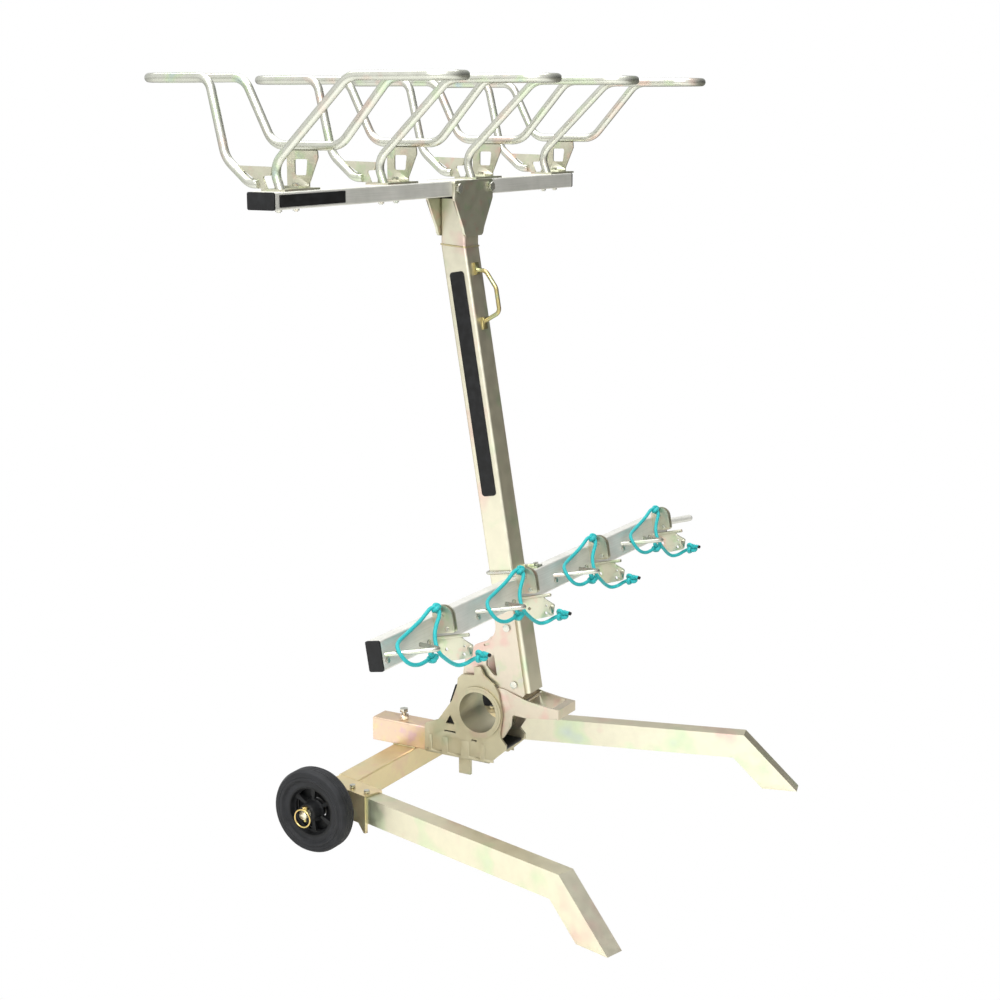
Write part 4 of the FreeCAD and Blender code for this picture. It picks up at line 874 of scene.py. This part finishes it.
@dataclass
class Seams:
    """Weld beads round the mast's mitre and along both sides of the receiver's foot."""

    drawing: Drawing
    material: bpy.types.Material
    bead_mm: float = 2.2
    bead_step_mm: float = 1.2
    bead_sides: int = 12
    corner_trim: float = 0.94
    receiver_side: float = 30.5
    receiver_foot: float = 143.8
    receiver_run: tuple[float, ...] = (-26.0, 5.0, 37.0)

    def bead(self, name: str, corners: Sequence[Vector], closed: bool = False) -> bpy.types.Object:
        """Lays one bead along straight runs.

        Args:
            name: The bead's name.
            corners: Its corners, in the row frame.
            closed: Whether it runs all the way round.

        Returns:
            The bead.
        """
        line = spread(list(corners), self.bead_step_mm * MM, closed)
        return tube(name, line, self.bead_mm * MM, self.bead_sides, Ripples(), closed)

    def square(self, name: str, centre: Vector, across: Vector, along: Vector) -> bpy.types.Object:
        """Lays a bead round a tube of rectangular section.

        Args:
            name: The bead's name.
            centre: The section's middle.
            across: Half the section one way.
            along: Half the section the other way.

        Returns:
            The bead.
        """
        trim = self.corner_trim
        corners = []
        for a, b in ((1, trim), (trim, 1), (-trim, 1), (-1, trim),
                     (-1, -trim), (-trim, -1), (trim, -1), (1, -trim)):
            corners.append(centre + across * a + along * b)
        return self.bead(name, corners, closed=True)

    def put(self, beads: Sequence[bpy.types.Object], name: str, body: str) -> None:
        """Joins beads, dresses them and ties them to a body.

        Args:
            beads: The beads.
            name: The joined piece's name.
            body: The body that it rides on.
        """
        piece = join(list(beads))
        piece.name = name
        dress(piece, self.material)
        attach(piece, body)

    def build(self) -> None:
        """Lays every bead."""
        at = self.drawing.at
        half = MAST_FACE
        tilt = math.tan(LEAN / 2)
        mitre = self.square("mitre_bead", at(0.0, MITRE_Y, MITRE_Z), Vector((half, 0.0, 0.0)) * MM,
                            Vector((0.0, half, half * tilt)) * MM)
        self.put([mitre], "mast_seam", "mast")
        receiver = []
        for x in (-self.receiver_side, self.receiver_side):
            run = [at(x, y, self.receiver_foot) for y in self.receiver_run]
            receiver.append(self.bead("receiver_bead", run))
        self.put(receiver, "receiver_seam", "stand")
        log.info("seams laid")


# ---- wheels ------------------------------------------------------------------------------------
@dataclass
class WheelBack:
    """The closed inner side of a moulded rim, which makes its windows look dark."""

    drawing: Drawing
    material: bpy.types.Material
    middle_x: float = 394.03
    axle_y: float = 20.8
    radius: float = 100.0
    ring_mm: float = 40.0
    band_mm: float = 14.0
    inset_mm: float = 12.0
    flatness: float = 0.08

    def build(self) -> None:
        """Adds one flat ring to each wheel."""
        for side, name in ((-1, "left"), (1, "right")):
            place = self.drawing.at(side * (self.middle_x - self.inset_mm), self.axle_y, self.radius)
            bpy.ops.mesh.primitive_torus_add(major_segments=72, minor_segments=12,
                                             major_radius=self.ring_mm * MM, minor_radius=self.band_mm * MM,
                                             location=place, rotation=(0.0, math.pi / 2, 0.0))
            ring = bpy.context.object
            ring.scale = (1.0, 1.0, self.flatness)
            settle(ring, name + "_rim_back")
            dress(ring, self.material)
            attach(ring, name + "_wheel")


# ---- studio ------------------------------------------------------------------------------------
@dataclass
class Studio:
    """Camera, soft light, white floor and cove. Its places are in metres, but for the camera's."""

    drawing: Drawing
    camera_at: tuple[float, float, float] = (-3611.9, -2303.6, 1693.9)
    yaw: float = -60.40
    pitch_down: float = 12.26
    lens: float = 64.88
    floor_side: float = 60.0
    floor_gap: float = 0.0005
    paper_way: tuple[float, float, float] = (0.93, -0.32, 0.0)
    paper_fades: tuple[float, float] = (0.9, 2.6)
    paper_near: str = "#e6e6e3"
    paper_far: str = "#85837a"
    cove_opening: tuple[float, float, float] = (0.78, -0.54, -0.32)
    cove_range: tuple[float, float] = (-0.5, 0.9)
    lit_point: tuple[float, float, float] = (0.0, 0.0, 0.8)

    def camera(self) -> None:
        """Sets the camera."""
        data = bpy.data.cameras.new("camera")
        data.lens = self.lens
        data.sensor_width = 36.0
        data.clip_end = 100.0
        camera = bpy.data.objects.new("camera", data)
        camera.location = self.drawing.at(*self.camera_at)
        camera.rotation_euler = (math.radians(90 - self.pitch_down), 0.0, math.radians(self.yaw))
        bpy.context.scene.collection.objects.link(camera)
        bpy.context.scene.camera = camera

    def floor(self) -> None:
        """Lays the white floor, which the camera sees as one plain white with the sky."""
        bpy.ops.object.select_all(action="DESELECT")
        bpy.ops.mesh.primitive_plane_add(size=self.floor_side, location=(0.0, 0.0, -self.floor_gap))
        floor = bpy.context.object
        floor.name = "studio_floor"
        material = bpy.data.materials.new("white_floor")
        material.use_nodes = True
        tree = material.node_tree
        shader = tree.nodes["Principled BSDF"]
        # it grows darker a few steps away on the far right, where a studio's paper ends
        place = add_node(tree, "ShaderNodeTexCoord").outputs["Object"]
        along = add_node(tree, "ShaderNodeVectorMath", {"operation": "DOT_PRODUCT"},
                         {0: place, 1: self.paper_way})
        far = add_node(tree, "ShaderNodeMapRange", inputs={"Value": along.outputs["Value"],
                                                           "From Min": self.paper_fades[0],
                                                           "From Max": self.paper_fades[1]})
        tone = ramp(tree, far.outputs[0], [(0.0, srgb(self.paper_near)), (1.0, srgb(self.paper_far))])
        tree.links.new(tone, shader.inputs["Base Color"])
        shader.inputs["Roughness"].default_value = 0.9
        glow = add_node(tree, "ShaderNodeEmission", inputs={"Color": grey(1.0), "Strength": 1.0})
        path = add_node(tree, "ShaderNodeLightPath")
        seen = add_node(tree, "ShaderNodeMixShader", inputs={0: path.outputs["Is Camera Ray"],
                                                             1: shader.outputs[0], 2: glow.outputs[0]})
        tree.links.new(seen.outputs[0], tree.nodes["Material Output"].inputs["Surface"])
        dress(floor, material)

    def area(self, name: str, at: tuple[float, float, float], size: float, power: float) -> None:
        """Adds a square soft box that faces the lit point.

        Args:
            name: The light's name.
            at: Its place in metres.
            size: Its side in metres.
            power: Its power in watts.
        """
        data = bpy.data.lights.new(name, "AREA")
        data.size = size
        data.energy = power
        light = bpy.data.objects.new(name, data)
        light.location = at
        light.rotation_euler = (Vector(self.lit_point) - Vector(at)).to_track_quat("-Z", "Y").to_euler()
        bpy.context.scene.collection.objects.link(light)

    def sky(self) -> None:
        """A white cove that is open, and so darker, behind the object on its far right."""
        world = bpy.data.worlds.new("cove")
        bpy.context.scene.world = world
        world.use_nodes = True
        tree = world.node_tree
        background = tree.nodes["Background"]
        direction = add_node(tree, "ShaderNodeTexCoord").outputs["Generated"]
        towards = add_node(tree, "ShaderNodeVectorMath", {"operation": "DOT_PRODUCT"},
                           {0: direction, 1: self.cove_opening})
        side = add_node(tree, "ShaderNodeMapRange", inputs={"Value": towards.outputs["Value"],
                                                            "From Min": self.cove_range[0],
                                                            "From Max": self.cove_range[1]})
        tone = ramp(tree, side.outputs[0], [(0.0, grey(1.05)), (0.50, grey(0.92)), (0.72, grey(0.55)),
                                            (1.0, grey(0.10))])
        path = add_node(tree, "ShaderNodeLightPath")
        seen = add_node(tree, "ShaderNodeMix", {"data_type": "RGBA"},
                        {0: path.outputs["Is Camera Ray"], 6: tone, 7: grey(1.0)})
        tree.links.new(seen.outputs[2], background.inputs["Color"])
        background.inputs["Strength"].default_value = 1.0

    def build(self) -> None:
        """Sets the whole studio."""
        self.camera()
        self.floor()
        self.sky()
        self.area("key_box", at=(-3.2, -1.0, 3.6), size=2.6, power=190.0)
        self.area("top_box", at=(0.3, 0.6, 4.2), size=3.0, power=120.0)
        bpy.context.scene.view_settings.view_transform = "Standard"
        bpy.context.scene.view_settings.look = "None"
        log.info("studio set")


def main() -> None:
    """Builds the looks around the frame."""
    logging.basicConfig(level=logging.INFO, format="%(message)s")
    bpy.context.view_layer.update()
    drawing = Drawing.from_frame()
    palette = Palette()
    Studio(drawing).build()
    replaced = {"rope_%d" % (i + 1) for i in range(BIKES)} | {"rope_knots"}
    for i, cradle in enumerate(CRADLES):
        Rope(i + 1, cradle, drawing, palette.get(Paint.CORD), palette.get(Paint.PLASTIC)).build()
    Seams(drawing, palette.get(Paint.SEAM)).build()
    WheelBack(drawing, palette.get(Paint.PLASTIC)).build()
    Skins(palette, frozenset(replaced)).build()


if __name__ == "__main__":
    main()
